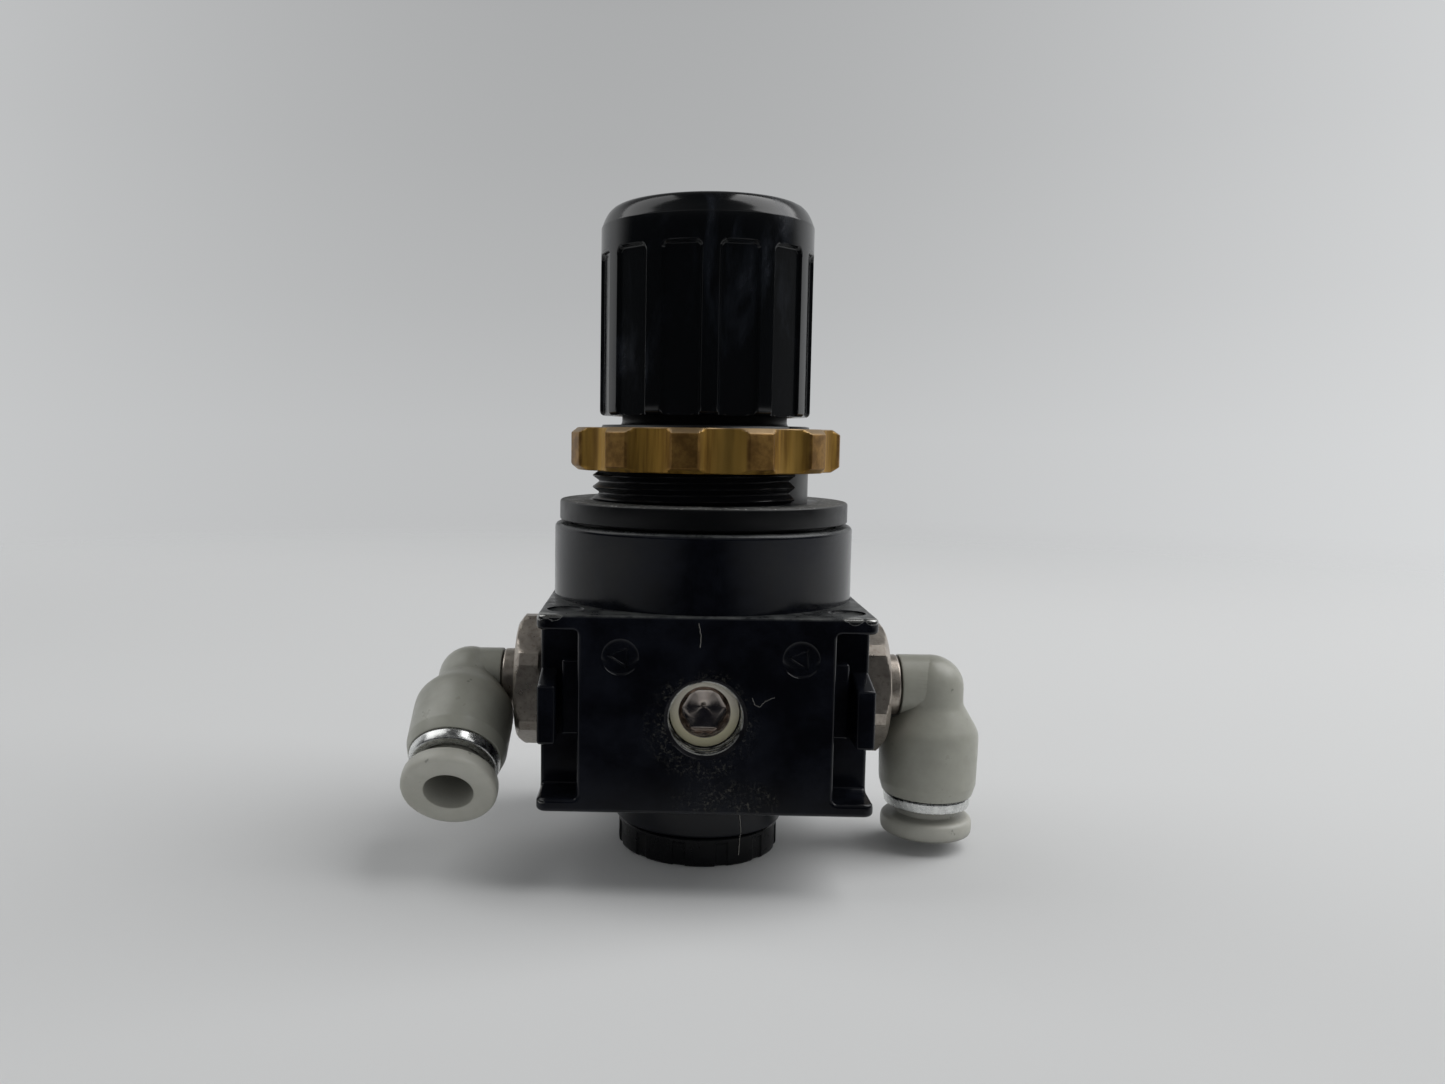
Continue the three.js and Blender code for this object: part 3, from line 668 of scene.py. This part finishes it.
# ---------- panel nut
def panel_nut():
    """A ring with twelve round scallops, their edges blended into the lands between them."""
    radius, low, high = NUT_HIGH[0], NUT_LOW[2], NUT_HIGH[2]
    cutter_centre, cutter_r, blend = 21.07, 4.7, 0.12
    pitch, first, land_edge = 30, -84.5, 10.17
    face_r, bore_r, thread_r, thread_depth = 16.2, 15.0, 14.98, 0.16

    def lobed(theta, r, z):
        phi = wrapped(theta - first * DEG, pitch * DEG)
        across = cutter_centre * np.sin(phi)
        reach = np.sqrt(np.maximum(cutter_r ** 2 - across ** 2, 0))
        dip = np.where(np.abs(across) < cutter_r, cutter_centre * np.cos(phi) - reach, 99.0)
        gap = np.clip((dip - radius) / blend, -1, 1)
        blended = (dip + radius) / 2 - blend * (1 + gap ** 2) / 4
        outline = np.where(np.abs(dip - radius) < blend, blended, np.minimum(dip, radius))
        rim = 0.14 if min(z - low, high - z) < 0.02 else 0.0
        return np.where(r > face_r, np.minimum(r, outline - rim), r)

    chamfer = [(radius - 0.98, 0.0), (radius - 0.80, 0.12), (radius - 0.32, 0.44), (radius - 0.06, 0.62),
               (radius, 0.74)]
    profile = [(bore_r, low + 0.35), (bore_r + 0.3, low), (face_r, low)]
    profile += [(r, low + depth) for r, depth in chamfer]
    profile += [(radius, z) for z in np.linspace(low + 1.3, high - 1.3, 5)]
    profile += [(r, high - depth) for r, depth in chamfer[::-1]]
    profile += [(face_r, high), (bore_r + 0.3, high), (bore_r, high - 0.35)]
    turns = np.arange(low + 0.9, high - 0.8, 0.25)[::-1]
    profile += [(thread_r + thread_depth * (k % 2), z) for k, z in enumerate(turns)]
    angles = clustered(pitch, first, (land_edge,), 1.2, 9, 26)
    made = turned("panel_nut_ring", profile, angles, BRASS, lobed)
    finished(made, "panel_nut", "panel_nut", 30)


# ---------- bonnet
def bonnet():
    """The shell with its flange, a helical panel thread that fades out at the top, and its neck."""
    bottom, top = BONNET_LOW[2], BONNET_HIGH[2]
    plain_r, plain_fade = 13.75, 0.9
    first_crest, run_out = FLANGE_TOP + 0.1, THREAD_TOP - 1.3
    start_r = 13.45
    shoulder = THREAD_TOP + 0.001

    def threaded(theta, r, z):
        if not FLANGE_TOP - 0.01 <= z <= THREAD_TOP + 0.01:
            return r
        if r.min() < THREAD_ROOT_R - 1.5 or r.max() > THREAD_R + 0.2:
            return r
        phase = (z - first_crest) / THREAD_PITCH - (theta - math.pi) / TAU
        saw = np.abs(2 * (phase % 1.0) - 1)
        crest = np.clip((saw - 0.12) / 0.80, 0, 1)
        ridge = THREAD_ROOT_R + (THREAD_R - THREAD_ROOT_R) * crest
        lead = smooth((THREAD_TOP - z) / (THREAD_TOP - run_out))
        ridge = np.minimum(ridge, start_r + (THREAD_R - start_r) * lead)
        if z < FLANGE_TOP + 0.35:
            ridge = np.maximum(ridge, THREAD_ROOT_R + 0.25)
        away = np.abs(wrapped(theta, TAU))
        plain = smooth((PLAIN_HALF - away) / (plain_fade * DEG) + 0.5)
        return ridge + (np.minimum(plain_r, r) - ridge) * plain

    skirt = [(14.0, bottom), (17.2, bottom), (17.2, FLANGE_BOTTOM), (FLANGE_R - 0.35, FLANGE_BOTTOM)]
    flange = arc(FLANGE_R - 0.25, FLANGE_BOTTOM + 0.25, 0.25, -70, 0, 4)
    flange += arc(FLANGE_R - 0.35, FLANGE_TOP - 0.35, 0.35, 0, 90, 6)
    flange += [(FLANGE_R - 0.8, FLANGE_TOP), (17.0, FLANGE_TOP), (15.6, FLANGE_TOP), (15.0, FLANGE_TOP)]
    thread = [(THREAD_R, z) for z in np.arange(FLANGE_TOP + 0.001, THREAD_TOP, 0.115)]
    thread += [(13.4, THREAD_TOP), (13.2, shoulder), (12.0, shoulder), (NECK_R + 0.5, shoulder)]
    neck = [(NECK_R + 0.15, THREAD_TOP + 0.08), (NECK_R, THREAD_TOP + 0.4), (NECK_R, 61.5), (10.0, 61.5),
            (10.0, 62.8), (NECK_R, 62.8), (NECK_R, top - 0.7), (NECK_R - 0.6, top)]
    inside = [(4.5, top), (4.5, top - 2.0), (8.8, top - 2.0), (8.8, 44.6), (14.0, 44.6)]
    angles = list(np.linspace(0, TAU, 180, endpoint=False))
    for side in (-1, 1):
        angles += [(side * PLAIN_HALF + nudge * DEG) % TAU for nudge in (-0.9, -0.5, -0.2, 0.2, 0.5, 0.9)]
    profile = skirt + flange + thread + neck + inside
    made = turned("bonnet_shell", profile, sorted(angles), BONNET, threaded)
    finished(made, "regulator_body", "bonnet", 38)


# ---------- body
def rounded_square(half_x, half_y, r):
    """The outline of the block, counter-clockwise."""
    points = []
    for turn, (cx, cy) in enumerate(((1, 1), (-1, 1), (-1, -1), (1, -1))):
        points += arc(cx * (half_x - r), cy * (half_y - r), r, 90 * turn, 90 * turn + 90, 7)
    return points


def lug(sx, sy):
    """The clamp lug on a corner, almost flush with the side face and sloping on top."""
    inner, outer = 13.0, 19.6
    outline = [(sy * inner, 18.2), (sy * outer, 18.2), (sy * outer, 25.3), (sy * inner, 26.9)]
    return softened(prism("lug", outline, "x", sx * 17.75, sx * 19.97, PAINT), 0.4, 4)


def recess_step(sx, sy):
    """The step at the back of a corner recess, which the lug grows from."""
    inner, outer = 14.6, 17.2
    outline = [(sx * inner, 18.8), (sx * outer, 18.8), (sx * outer, 28.0), (sx * inner, 28.0)]
    return softened(prism("step", outline, "y", sy * 13.0, sy * 17.0, PAINT), 0.35, 3)


def recess(sx, sy):
    """The cutter of a corner recess, between the two thin plates."""
    inner_x, inner_y, outside, low, high = 15.1, 14.5, 30, 11.9, 32.1
    x, y = sorted((sx * inner_x, sx * outside)), sorted((sy * inner_y, sy * outside))
    return box_cutter("recess", (x[0], y[0], low), (x[1], y[1], high), PAINT)


def port_cutter(side):
    """Threaded gauge port: a mouth chamfer and ring grooves at 28 turns to the inch."""
    pitch, minor, major = 0.907, 4.32, 4.74
    profile = [(0, PORT_FLOOR), (minor - 0.2, PORT_FLOOR), (minor - 0.2, 15.8)]
    y = 16.2
    while y < FACE_Y - 0.75:
        profile += [(minor, y), (minor + 0.03, y + 0.14), (major, y + 0.40), (major, y + 0.50)]
        profile += [(minor + 0.03, y + 0.77)]
        y += pitch
    profile += [(minor, y), (4.62, FACE_Y - 0.32), (4.95, FACE_Y), (4.95, FACE_Y + 3), (0, FACE_Y + 3)]
    made = turned("port", profile, 72, THREAD_METAL)
    return moved(made, Matrix.Translation((0, 0, PORT_Z)) @ along_y(side))


def flow_mark(x):
    """Two cutters with sloping walls: a shallow dished disc, and an arrow to the left sunk in it."""
    dish = [(0, -0.30), (0.8, -0.29), (1.4, -0.25), (1.8, -0.19), (2.05, -0.12), (2.2, -0.02), (2.32, 0.2),
            (2.32, 2), (0, 2)]
    disc = turned("disc", [(r, FACE_Y + out) for r, out in dish], 64, PAINT)
    corners = np.array([(-1.75, 0.15), (0.95, -1.55), (0.95, 1.25)])
    middle = corners.mean(0)
    vertices = []
    for grow, depth in ((0.66, 0.54), (0.74, 0.50), (1.0, 0.25), (1.20, 0.0)):
        for u, v in middle + grow * (corners - middle):
            vertices.append((x + u, depth - FACE_Y, MARK_Z + v))
    faces = [(0, 1, 2), (9, 11, 10)]
    for ring in (0, 3, 6):
        for i, j in ((0, 1), (1, 2), (2, 0)):
            faces.append((ring + 3 + i, ring + 3 + j, ring + j, ring + i))
    arrow = made_object("arrow", vertices, faces, PAINT)
    return moved(disc, Matrix.Translation((x, 0, MARK_Z)) @ along_y(-1)), arrow


def spot_face():
    """The cutter of the round machined patch about the front port."""
    profile = [(0, FACE_Y - 0.05), (6.6, FACE_Y - 0.05), (6.75, FACE_Y + 1), (0, FACE_Y + 1)]
    return moved(turned("spot", profile, 96, PAINT), Matrix.Translation((0, 0, PORT_Z)) @ along_y(-1))


def top_pad(sx, sy):
    """The cutter of the shallow round pad by a corner of the top plate, clear of the ring."""
    profile = [(0, -0.3), (1.95, -0.3), (2.15, -0.2), (2.25, 0.02), (2.25, 1), (0, 1)]
    pad = turned("pad", [(r, BLOCK_TOP + up) for r, up in profile], 48, PAINT)
    moved(pad, Matrix.Translation((sx * 16.9, sy * 15.6, 0)))
    keep_r, low, high = RING_R + 0.02, BLOCK_TOP - 1, BLOCK_TOP + 3
    keep = turned("keep", [(0, low), (keep_r, low), (keep_r, high), (0, high)], 144, PAINT)
    return combine(pad, "DIFFERENCE", keep)


def top_ring():
    """The round ring that the bonnet sits on."""
    profile = [(0, BLOCK_TOP - 2), (RING_R, BLOCK_TOP - 2), (RING_R, BLOCK_TOP + 0.05)]
    profile += arc(RING_R - 0.6, RING_TOP - 0.6, 0.6, 0, 90, 7)
    profile += [(17.7, RING_TOP), (17.5, RING_TOP - 0.2), (17.5, 39.2), (0, 39.2)]
    return turned("ring", profile, 144, PAINT)


def lower_boss():
    """The round boss that holds the bottom cap, flared where it meets the block."""
    flare, low, high = 0.9, 9.6, 11.4
    profile = [(0, 4.1), (BOSS_R - 0.3, 4.1), (BOSS_R - 0.1, 4.18), (BOSS_R, 4.4), (BOSS_R, low)]
    for a in np.linspace(0.2, math.pi / 2, 5):
        profile.append((BOSS_R + flare * (1 - math.cos(a)), low + 0.7 * math.sin(a)))
    profile += [(BOSS_R + flare, high), (0, high)]
    return turned("boss", profile, 96, PAINT)


def side_port(side):
    """The cutter of a side port, with the seat of the stud's seal at its mouth."""
    profile = [(0, PORT_FLOOR), (6.3, PORT_FLOOR), (6.3, 18.7), (7.1, 18.7), (7.1, 25), (0, 25)]
    return moved(turned("seat", profile, 64, PAINT), Matrix.Translation((0, 0, PORT_Z)) @ along_x(side))


def body():
    """The square block with its plates, recesses, lugs, marks, ring, boss and ports."""
    outline = rounded_square(BODY_HIGH[0], FACE_Y, 1.2)
    made = prism("valve_body", outline, "z", BLOCK_BOTTOM, BLOCK_TOP, PAINT)
    corners = [(sx, sy) for sx in (-1, 1) for sy in (-1, 1)]
    for corner in corners:
        combine(made, "DIFFERENCE", recess(*corner))
    softened(made, 0.48, 4)
    for corner in corners:
        combine(made, "UNION", lug(*corner), recess_step(*corner))
    for x in MARKS_X:
        combine(made, "DIFFERENCE", *flow_mark(x))
    combine(made, "DIFFERENCE", spot_face())
    combine(made, "UNION", top_ring(), lower_boss())
    for corner in corners:
        combine(made, "DIFFERENCE", top_pad(*corner))
    cap_bore = [(0, -2), (8.9, -2), (8.9, 13.6), (0, 13.6)]
    combine(made, "DIFFERENCE", turned("lower", cap_bore, 72, PAINT))
    for side in (-1, 1):
        combine(made, "DIFFERENCE", side_port(side), port_cutter(side))
    finished(made, "regulator_body", "body", 32, True)


# ---------- bottom cap
def bottom_cap():
    """A cap with twelve notches round its flange."""
    low, high = CAP_LOW[2], CAP_HIGH[2]
    pitch, first = 30, 15
    notch_half, notch_depth, notch_top = 0.075, 0.22, 3.15
    edge, shoulder = 0.5, 0.25

    def notched(theta, r, z):
        phi = np.abs(wrapped(theta - first * DEG, pitch * DEG))
        rise = float(smooth((notch_top - z) / 0.12 + 0.5))
        dip = notch_depth * smooth((notch_half - phi) / 0.02 + 0.5) * rise
        return np.where(r > 10.0, r - dip, r)

    profile = [(0, low), (6.0, low), (9.6, low), (10.05, low)]
    profile += arc(CAP_R - edge, low + edge, edge, -80, 0, 5)
    profile += [(CAP_R, z) for z in (1.4, 2.2, 2.9, 3.02, 3.14, 3.26, 3.4)]
    profile += arc(CAP_R - shoulder, CAP_TOP - shoulder, shoulder, 0, 90, 4)
    profile += [(8.6, CAP_TOP), (8.6, 4.7), (7.6, 4.7), (7.6, 6.1), (8.6, 6.1)]
    profile += [(8.6, high - 0.4), (8.2, high), (0, high)]
    made = turned("cap_shell", profile, clustered(pitch, first, (4.7,), 0.7, 7, 10), CAP, notched)
    finished(made, "regulator_body", "bottom_cap", 38)


# ---------- gauge plugs
def plug(label, side):
    """A gauge port plug with a hexagon socket."""
    socket_r, corner_r, mouth = 2.5, 2.86, -0.8

    def socket(theta, r, z):
        if z > mouth or r.max() > 3.0 or r.max() < 2.3:
            return r
        hexagon = np.minimum(socket_r / np.cos(wrapped(theta - 30 * DEG, TAU / 6)), corner_r)
        return hexagon * r / socket_r

    rim = [(0, -4.4), (3.9, -4.4), (4.2, -4.1), (4.2, -0.08), (4.15, -0.02), (4.10, 0.0), (3.27, 0.0),
           (3.21, -0.03), (3.15, -0.1), (2.90, -0.40), (2.66, -0.70)]
    wall = [(socket_r, z) for z in (-0.92, -1.3, -1.8, -2.3, -2.42)]
    bottom = [(2.38, -2.48), (1.9, -2.58), (1.0, -2.74), (0.2, -2.88), (0, -2.97)]
    made = turned(f"{label}_port_plug", rim + wall + bottom, clustered(60, 0, (0.0, 27.0), 3.0, 7, 12), PLUG,
                  socket)
    moved(made, Matrix.Translation((0, side * (FACE_Y - PLUG_DEPTH), PORT_Z)) @ along_y(side))
    finished(made, "regulator_body", f"{label}_plug", 32)


# ---------- fittings
def stud(label):
    """The stud of a fitting: its hexagon with bevelled corners, a collar and the hidden spigot."""
    side, face_width, chamfer = SIDE[label], 7.4, 0.8
    corner = math.hypot(HEX_FLATS, face_width) / 2
    half = math.atan2(face_width, HEX_FLATS)

    def hexed(theta, r, z):
        phi = np.abs(wrapped(theta - HEX_TURN[label] * DEG, TAU / 6))
        flat = HEX_FLATS / 2 / np.cos(phi)
        bevel = corner * math.cos(TAU / 12 - half) / np.cos(TAU / 12 - phi)
        return np.where(r > 5.5, np.minimum(r, np.minimum(flat, bevel)), r)

    def hex_point(z):
        near = min(z - HEX_START, HEX_END - z)
        return corner + 0.05 - max(0.0, chamfer - near) * 1.35, z

    inner = [(1.5, 12.5), (5.6, 12.5), (6.0, 12.9), (6.0, 18.7), (5.4, 19.0), (5.4, HEX_START)]
    hexagon = [(7.0, HEX_START)] + [hex_point(HEX_START + rise) for rise in (0, 0.2, 0.45, chamfer, 1.4)]
    hexagon += [hex_point(HEX_END - drop) for drop in (1.4, chamfer, 0.6, 0.4, 0.2, 0)]
    collar = [(7.0, HEX_END), (4.4, HEX_END), (4.15, HEX_END + 0.05), (4.05, HEX_END + 0.2), (4.05, 26.1),
              (3.95, 26.28), (3.1, 26.3)]
    spigot = [(3.1, 26.8), (2.3, 26.8), (2.3, 28.2), (3.1, 28.2), (3.1, 28.8), (1.5, 28.8)]
    angles = clustered(60, HEX_TURN[label], (math.degrees(half),), 0.8, 5, 20)
    made = turned(f"{label}_hex_stud", inner + hexagon + collar + spigot, angles, NICKEL, hexed)
    moved(made, Matrix.Translation((0, 0, PORT_Z)) @ along_x(side))
    finished(made, "regulator_body", f"{label}_stud", 24)


def branch_place(label):
    """Puts a piece drawn about the elbow's corner, with its tube end down, in its swivelled place."""
    centre = Matrix.Translation((SIDE[label] * ELBOW_X, 0, PORT_Z))
    return centre @ Matrix.Rotation(SWIVEL[label] * DEG, 4, "X")


def elbow(label):
    """The moulded shell: barrel, shoulders, round corner and arm, hollow as the real one."""
    turn_in = along_x(SIDE[label])
    neck_r, arm_r, end = 4.35, 4.1, SOCKET_END
    reach = COLLAR_END - ELBOW_X
    barrel = [(0, end), (5.72, end), (5.86, end + 0.04), (5.95, end + 0.16), (6.33, end + 1.45),
              (6.37, end + 1.75), (6.42, -11.0), (6.48, -8.5), (6.5, -7.2)]
    shoulders = [(6.48, -6.5), (6.4, -6.0), (6.24, -5.55), (6.0, -5.1), (5.3, -3.9), (4.62, -2.72),
                 (4.44, -2.4), (4.36, -2.0), (neck_r, -1.2)]
    corner = [(neck_r * math.cos(a), arm_r * math.sin(a)) for a in np.linspace(0, math.pi / 2, 14)[:-1]]
    made = turned(f"{label}_elbow_shell", barrel + shoulders + corner + [(0, arm_r)], 96, ELBOW)
    arm = [(0, reach), (arm_r - 0.25, reach), (arm_r - 0.07, reach + 0.07), (arm_r, reach + 0.25)]
    arm += [(arm_r, 0), (0, 0)]
    combine(made, "UNION", moved(turned("arm", arm, 96, ELBOW), turn_in))
    socket = [(0, -15.5), (5.65, -15.5), (5.65, -9.1), (5.2, -9.1), (5.2, -7.0), (3.3, -7.0), (3.3, -4.6),
              (2.2, -4.6), (2.2, 0.4), (0, 0.9)]
    combine(made, "DIFFERENCE", turned("socket", socket, 72, ELBOW))
    bore = [(0, -8), (3.4, -8), (3.4, -1.3), (2.0, -1.0), (2.0, 0.01), (0, 0.01)]
    combine(made, "DIFFERENCE", moved(turned("bore", bore, 60, ELBOW), turn_in))
    trim = [(0, -9), (4.3, -9), (4.3, reach), (0, reach)]
    combine(made, "DIFFERENCE", moved(turned("trim", trim, 72, ELBOW), turn_in))
    moved(made, branch_place(label))
    finished(made, f"{label}_elbow", f"{label}_elbow", 34, True)


def guide_ring(label):
    """The polished ring in the mouth of the socket."""
    profile = [(4.4, -15.95), (4.6, -16.1), (5.35, -16.1), (5.52, -16.04), (5.6, -15.9), (5.66, -15.3),
               (5.76, -14.9), (5.77, -14.75), (5.7, -14.64), (5.4, -14.62), (5.35, -14.4), (5.35, -11.5),
               (4.4, -11.5)]
    made = turned(f"{label}_plated_ring", profile, 96, CHROME)
    moved(made, branch_place(label))
    finished(made, f"{label}_elbow", f"{label}_guide_ring", 45)


def release_ring(label):
    """The flanged ring that is pressed in to let the tube go."""
    flange = [(3.05, 0.3), (3.1, 0.1), (3.25, 0), (5.4, 0), (5.6, 0.03), (5.8, 0.16), (5.93, 0.42),
              (5.99, 0.8), (6.0, 1.4), (5.96, 1.8), (5.86, 2.05), (5.65, 2.25), (5.2, 2.42), (4.25, 2.55),
              (4.1, 2.7)]
    sleeve = [(4.1, -11.2), (3.8, -10.8), (3.05, -10.8)]
    profile = [(r, RELEASE_END + up) for r, up in flange] + sleeve
    made = turned(f"{label}_push_ring", profile, 96, BUTTON)
    moved(made, branch_place(label))
    finished(made, f"{label}_release", f"{label}_release_ring", 40)


# ---------- fibres
def fibre(name, points, thickness, bend):
    """A stray lint fibre through the points, held just off the surface and gently kinked."""
    rng = np.random.default_rng(11)
    knots = np.array(points, float)
    steps = np.linspace(0, len(knots) - 1, 8 * len(knots))
    path = np.stack([np.interp(steps, np.arange(len(knots)), knots[:, i]) for i in range(3)], 1)
    for _ in range(4):
        path[1:-1] = (path[:-2] + 2 * path[1:-1] + path[2:]) / 4
    path[1:-1] += rng.normal(0, bend, (len(path) - 2, 3)) * (1, 0.2, 1)
    sides = 5
    vertices, faces = [], []
    for i, centre in enumerate(path):
        ahead = path[min(i + 1, len(path) - 1)] - path[max(i - 1, 0)]
        across = np.cross(ahead, (0, 1, 0))
        across /= np.linalg.norm(across)
        over = np.cross(across, ahead / np.linalg.norm(ahead))
        for k in range(sides):
            a = TAU * k / sides
            vertices.append(centre + thickness * (math.cos(a) * across + math.sin(a) * over))
    for start in range(0, sides * (len(path) - 1), sides):
        for k in range(sides):
            after = (k + 1) % sides
            faces.append((start + k, start + after, start + sides + after, start + sides + k))
    last = sides * (len(path) - 1)
    faces += [tuple(range(sides)), tuple(range(last, last + sides))]
    finished(made_object(name, vertices, faces, LINT), "regulator_body", None)


def fibres():
    """One by the port, one under the top plate and one hanging down the boss."""
    front = -FACE_Y - 0.07
    curl = ((5.4, 24.5), (5.7, 23.7), (6.3, 23.4), (6.8, 24.1), (8.0, 24.6))
    fibre("lint_port", [(x, front, z) for x, z in curl], 0.015, 0.03)
    hair = ((-1.0, 33.2), (-0.7, 31.9), (-0.8, 30.4))
    fibre("lint_top", [(x, front, z) for x, z in hair], 0.022, 0.04)
    strand = ((3.4, 12.35, 10.4), (4.3, 11.5, 9.2), (5.0, 11.34, 7.0), (5.2, 11.3, 4.6), (5.1, 10.82, 3.4),
              (5.0, 10.82, 1.4))
    fibre("lint_boss", [(x, -math.sqrt(r ** 2 - x ** 2), z) for x, r, z in strand], 0.035, 0.02)


# ---------- the rest of the frame
def finish_cad_nodes():
    """Gives every CAD node that still shows, mostly inner pieces, its worked material and smooth shading."""
    worn = {"rubber": RUBBER, "inner_brass": INNER_BRASS, "spring_steel": STEEL, "spindle_steel": STEEL,
            "zinc_parts": ZINC}
    slots = {part["node"]: part["material_slot"] for part in frame["record"]["subparts"]}
    for name, node in frame["nodes"].items():
        if slots.get(name) not in worn:
            continue
        node.data.materials.clear()
        node.data.materials.append(worn[slots[name]])
        for face in node.data.polygons:
            face.use_smooth = True
            face.material_index = 0
        node.data.set_sharp_from_angle(angle=40 * DEG)


# ---------- studio
def sheet(name, columns, rows, place, material):
    """A grid of quads placed by place(u, v), seen only in reflections."""
    points = [place(u / columns, v / rows) for u in range(columns + 1) for v in range(rows + 1)]
    step = rows + 1
    faces = [(u * step + v, (u + 1) * step + v, (u + 1) * step + v + 1, u * step + v + 1)
             for u in range(columns) for v in range(rows)]
    made = made_object(name, points, faces, material)
    made.visible_camera = made.visible_shadow = made.visible_diffuse = made.visible_transmission = False


def dark_sheet_material(name, shape):
    """Almost black and faintly glowing, a painted shade for reflections, clear where shape reaches 1."""
    s = Shader(name, (0.01, 0.01, 0.012), 0.9)
    x, y, z = s.axes()
    dark = s.mix(s.noise(3, 2, 0.5), (0.0035, 0.004, 0.006), (0.006, 0.007, 0.010))
    s.faded(s.node("ShaderNodeEmission", {"Color": dark}).outputs[0], shape(s, x, y, z))
    return s.material


def floor():
    """Pale paper that fades into the backdrop, with painted shade making it a little greyer near the camera
    and far to the right.
    """
    reach = 2.5
    rim = [(math.cos(a) * reach, math.sin(a) * reach, 0) for a in np.linspace(0, TAU, 96, endpoint=False)]
    made = made_object("floor", rim, [tuple(range(96))])
    s = Shader("floor_paper", (0.76, 0.77, 0.77), 0.9)
    x, y, _ = s.axes()
    # Painted light and shade: greyer near the camera, and far off paler to the left than to the right.
    near = s.mix(s.step(y, -0.10, 0.0), (0.675, 0.68, 0.68), (0.725, 0.73, 0.73))
    far = s.mix(s.step(x, -0.30, 0.20), (0.86, 0.865, 0.865), (0.715, 0.72, 0.72))
    s.color(s.mix(s.step(y, 0.12, 0.45), near, far))
    s.faded(s.bsdf.outputs[0], s.step(s.distance((0, 0, 0)), 150, 650))
    made.data.materials.append(s.material)


def room():
    """Painted shade for reflections: dark sheets standing for the unlit side of the room behind the camera,
    as a curved wall and the floor before it.
    """
    reach, height, lift = 0.62, 0.48, 0.0004
    wall_half, floor_half, floor_start = 128 * DEG, 80 * DEG, 0.030

    def wall(u, v):
        a = -math.pi / 2 + (2 * u - 1) * wall_half
        return reach * math.cos(a), reach * math.sin(a), height * v

    def fade_wall(s, x, y, z):
        side = s.step(y, -0.02 * reach, 0.52 * reach)
        over = s.step(z, 0.30, 0.47)
        return s.greater(side, over)

    def ground(u, v):
        a = -math.pi / 2 + (2 * u - 1) * floor_half
        r = floor_start + v * (reach - floor_start)
        return r * math.cos(a), r * math.sin(a), lift

    def fade_ground(s, x, y, z):
        near = s.step(y, -0.075, -0.015)
        return s.greater(near, s.step(s.math("ABSOLUTE", x), 0.05, 0.30))

    sheet("room_wall", 32, 6, wall, dark_sheet_material("room_shade_sheet", fade_wall))
    sheet("room_floor", 24, 12, ground, dark_sheet_material("room_floor_shade_sheet", fade_ground))


def world():
    """A tent brightest low down, growing darker overhead and a little brighter to both sides."""
    made = bpy.data.worlds.new("tent")
    made.use_nodes = True
    n = Nodes(made.node_tree)
    x, _, z = n.split(n.node("ShaderNodeTexCoord").outputs["Generated"])
    z = n.greater(z, 0.0)
    ramp = n.node("ShaderNodeValToRGB")
    stops = {0.0: 0.527, 0.12: 0.468, 0.24: 0.430, 0.34: 0.414, 0.48: 0.36, 0.66: 0.14, 1.0: 0.035}
    elements = ramp.color_ramp.elements
    while len(elements) < len(stops):
        elements.new(0.5)
    for element, (place, level) in zip(elements, stops.items()):
        element.position = place
        element.color = (level * 0.985, level, level * 1.01, 1)
    n.link(z, ramp.inputs[0])
    sides = n.times(n.times(x, x), n.plus(n.times(z, 2.6), 0.62))
    lean = n.plus(n.times(x, 0.17), 1.0)
    background = n.tree.nodes["Background"]
    n.link(ramp.outputs[0], background.inputs["Color"])
    n.link(n.math("MINIMUM", n.plus(sides, lean), 1.7), background.inputs["Strength"])
    bpy.context.scene.world = made


def lamp(name, place, aim, size, power):
    """A soft rectangular lamp at a place, facing its aim."""
    light = bpy.data.lights.new(name, "AREA")
    light.shape = "RECTANGLE"
    light.size, light.size_y = size
    light.energy = power
    holder = bpy.data.objects.new(name, light)
    holder.location = place
    holder.rotation_mode = "QUATERNION"
    holder.rotation_quaternion = (Vector(aim) - Vector(place)).to_track_quat("-Z", "Y")
    bpy.context.scene.collection.objects.link(holder)


def studio():
    aim = (0, 0, 0.03)
    floor()
    room()
    world()
    lamp("left_softbox", (-0.55, 0.12, 0.72), aim, (0.52, 0.7), 1.6)
    lamp("right_softbox", (0.58, 0.05, 0.72), aim, (0.68, 0.88), 5.8)


def camera():
    """The photograph's viewpoint. The shift stands for its off-centre crop."""
    place = Vector((-5.734, -147.513, 54.917)) * MM
    pitch, yaw, roll = 0.09411, -0.02399, 0.011755
    data = bpy.data.cameras.new("camera")
    data.sensor_width = 36.0
    data.lens = 27.575
    data.shift_x, data.shift_y = 0.0621, -0.0018
    data.clip_start = 0.005
    data.clip_end = 50
    made = bpy.data.objects.new("camera", data)
    bpy.context.scene.collection.objects.link(made)
    level = math.cos(pitch)
    forward = Vector((math.sin(yaw) * level, math.cos(yaw) * level, -math.sin(pitch)))
    right = forward.cross(Vector((0, 0, 1))).normalized()
    up = right.cross(forward)
    rolled_right = math.cos(roll) * right + math.sin(roll) * up
    rolled_up = -math.sin(roll) * right + math.cos(roll) * up
    turn = Matrix((rolled_right, rolled_up, -forward)).transposed().to_4x4()
    made.matrix_world = Matrix.Translation(place) @ turn
    bpy.context.scene.camera = made


knob()
panel_nut()
bonnet()
body()
bottom_cap()
plug("front", -1)
plug("rear", 1)
for label in ("left", "right"):
    stud(label)
    elbow(label)
    guide_ring(label)
    release_ring(label)
fibres()
finish_cad_nodes()
studio()
camera()
bpy.context.scene.view_settings.view_transform = "Standard"

bpy.context.view_layer.update()
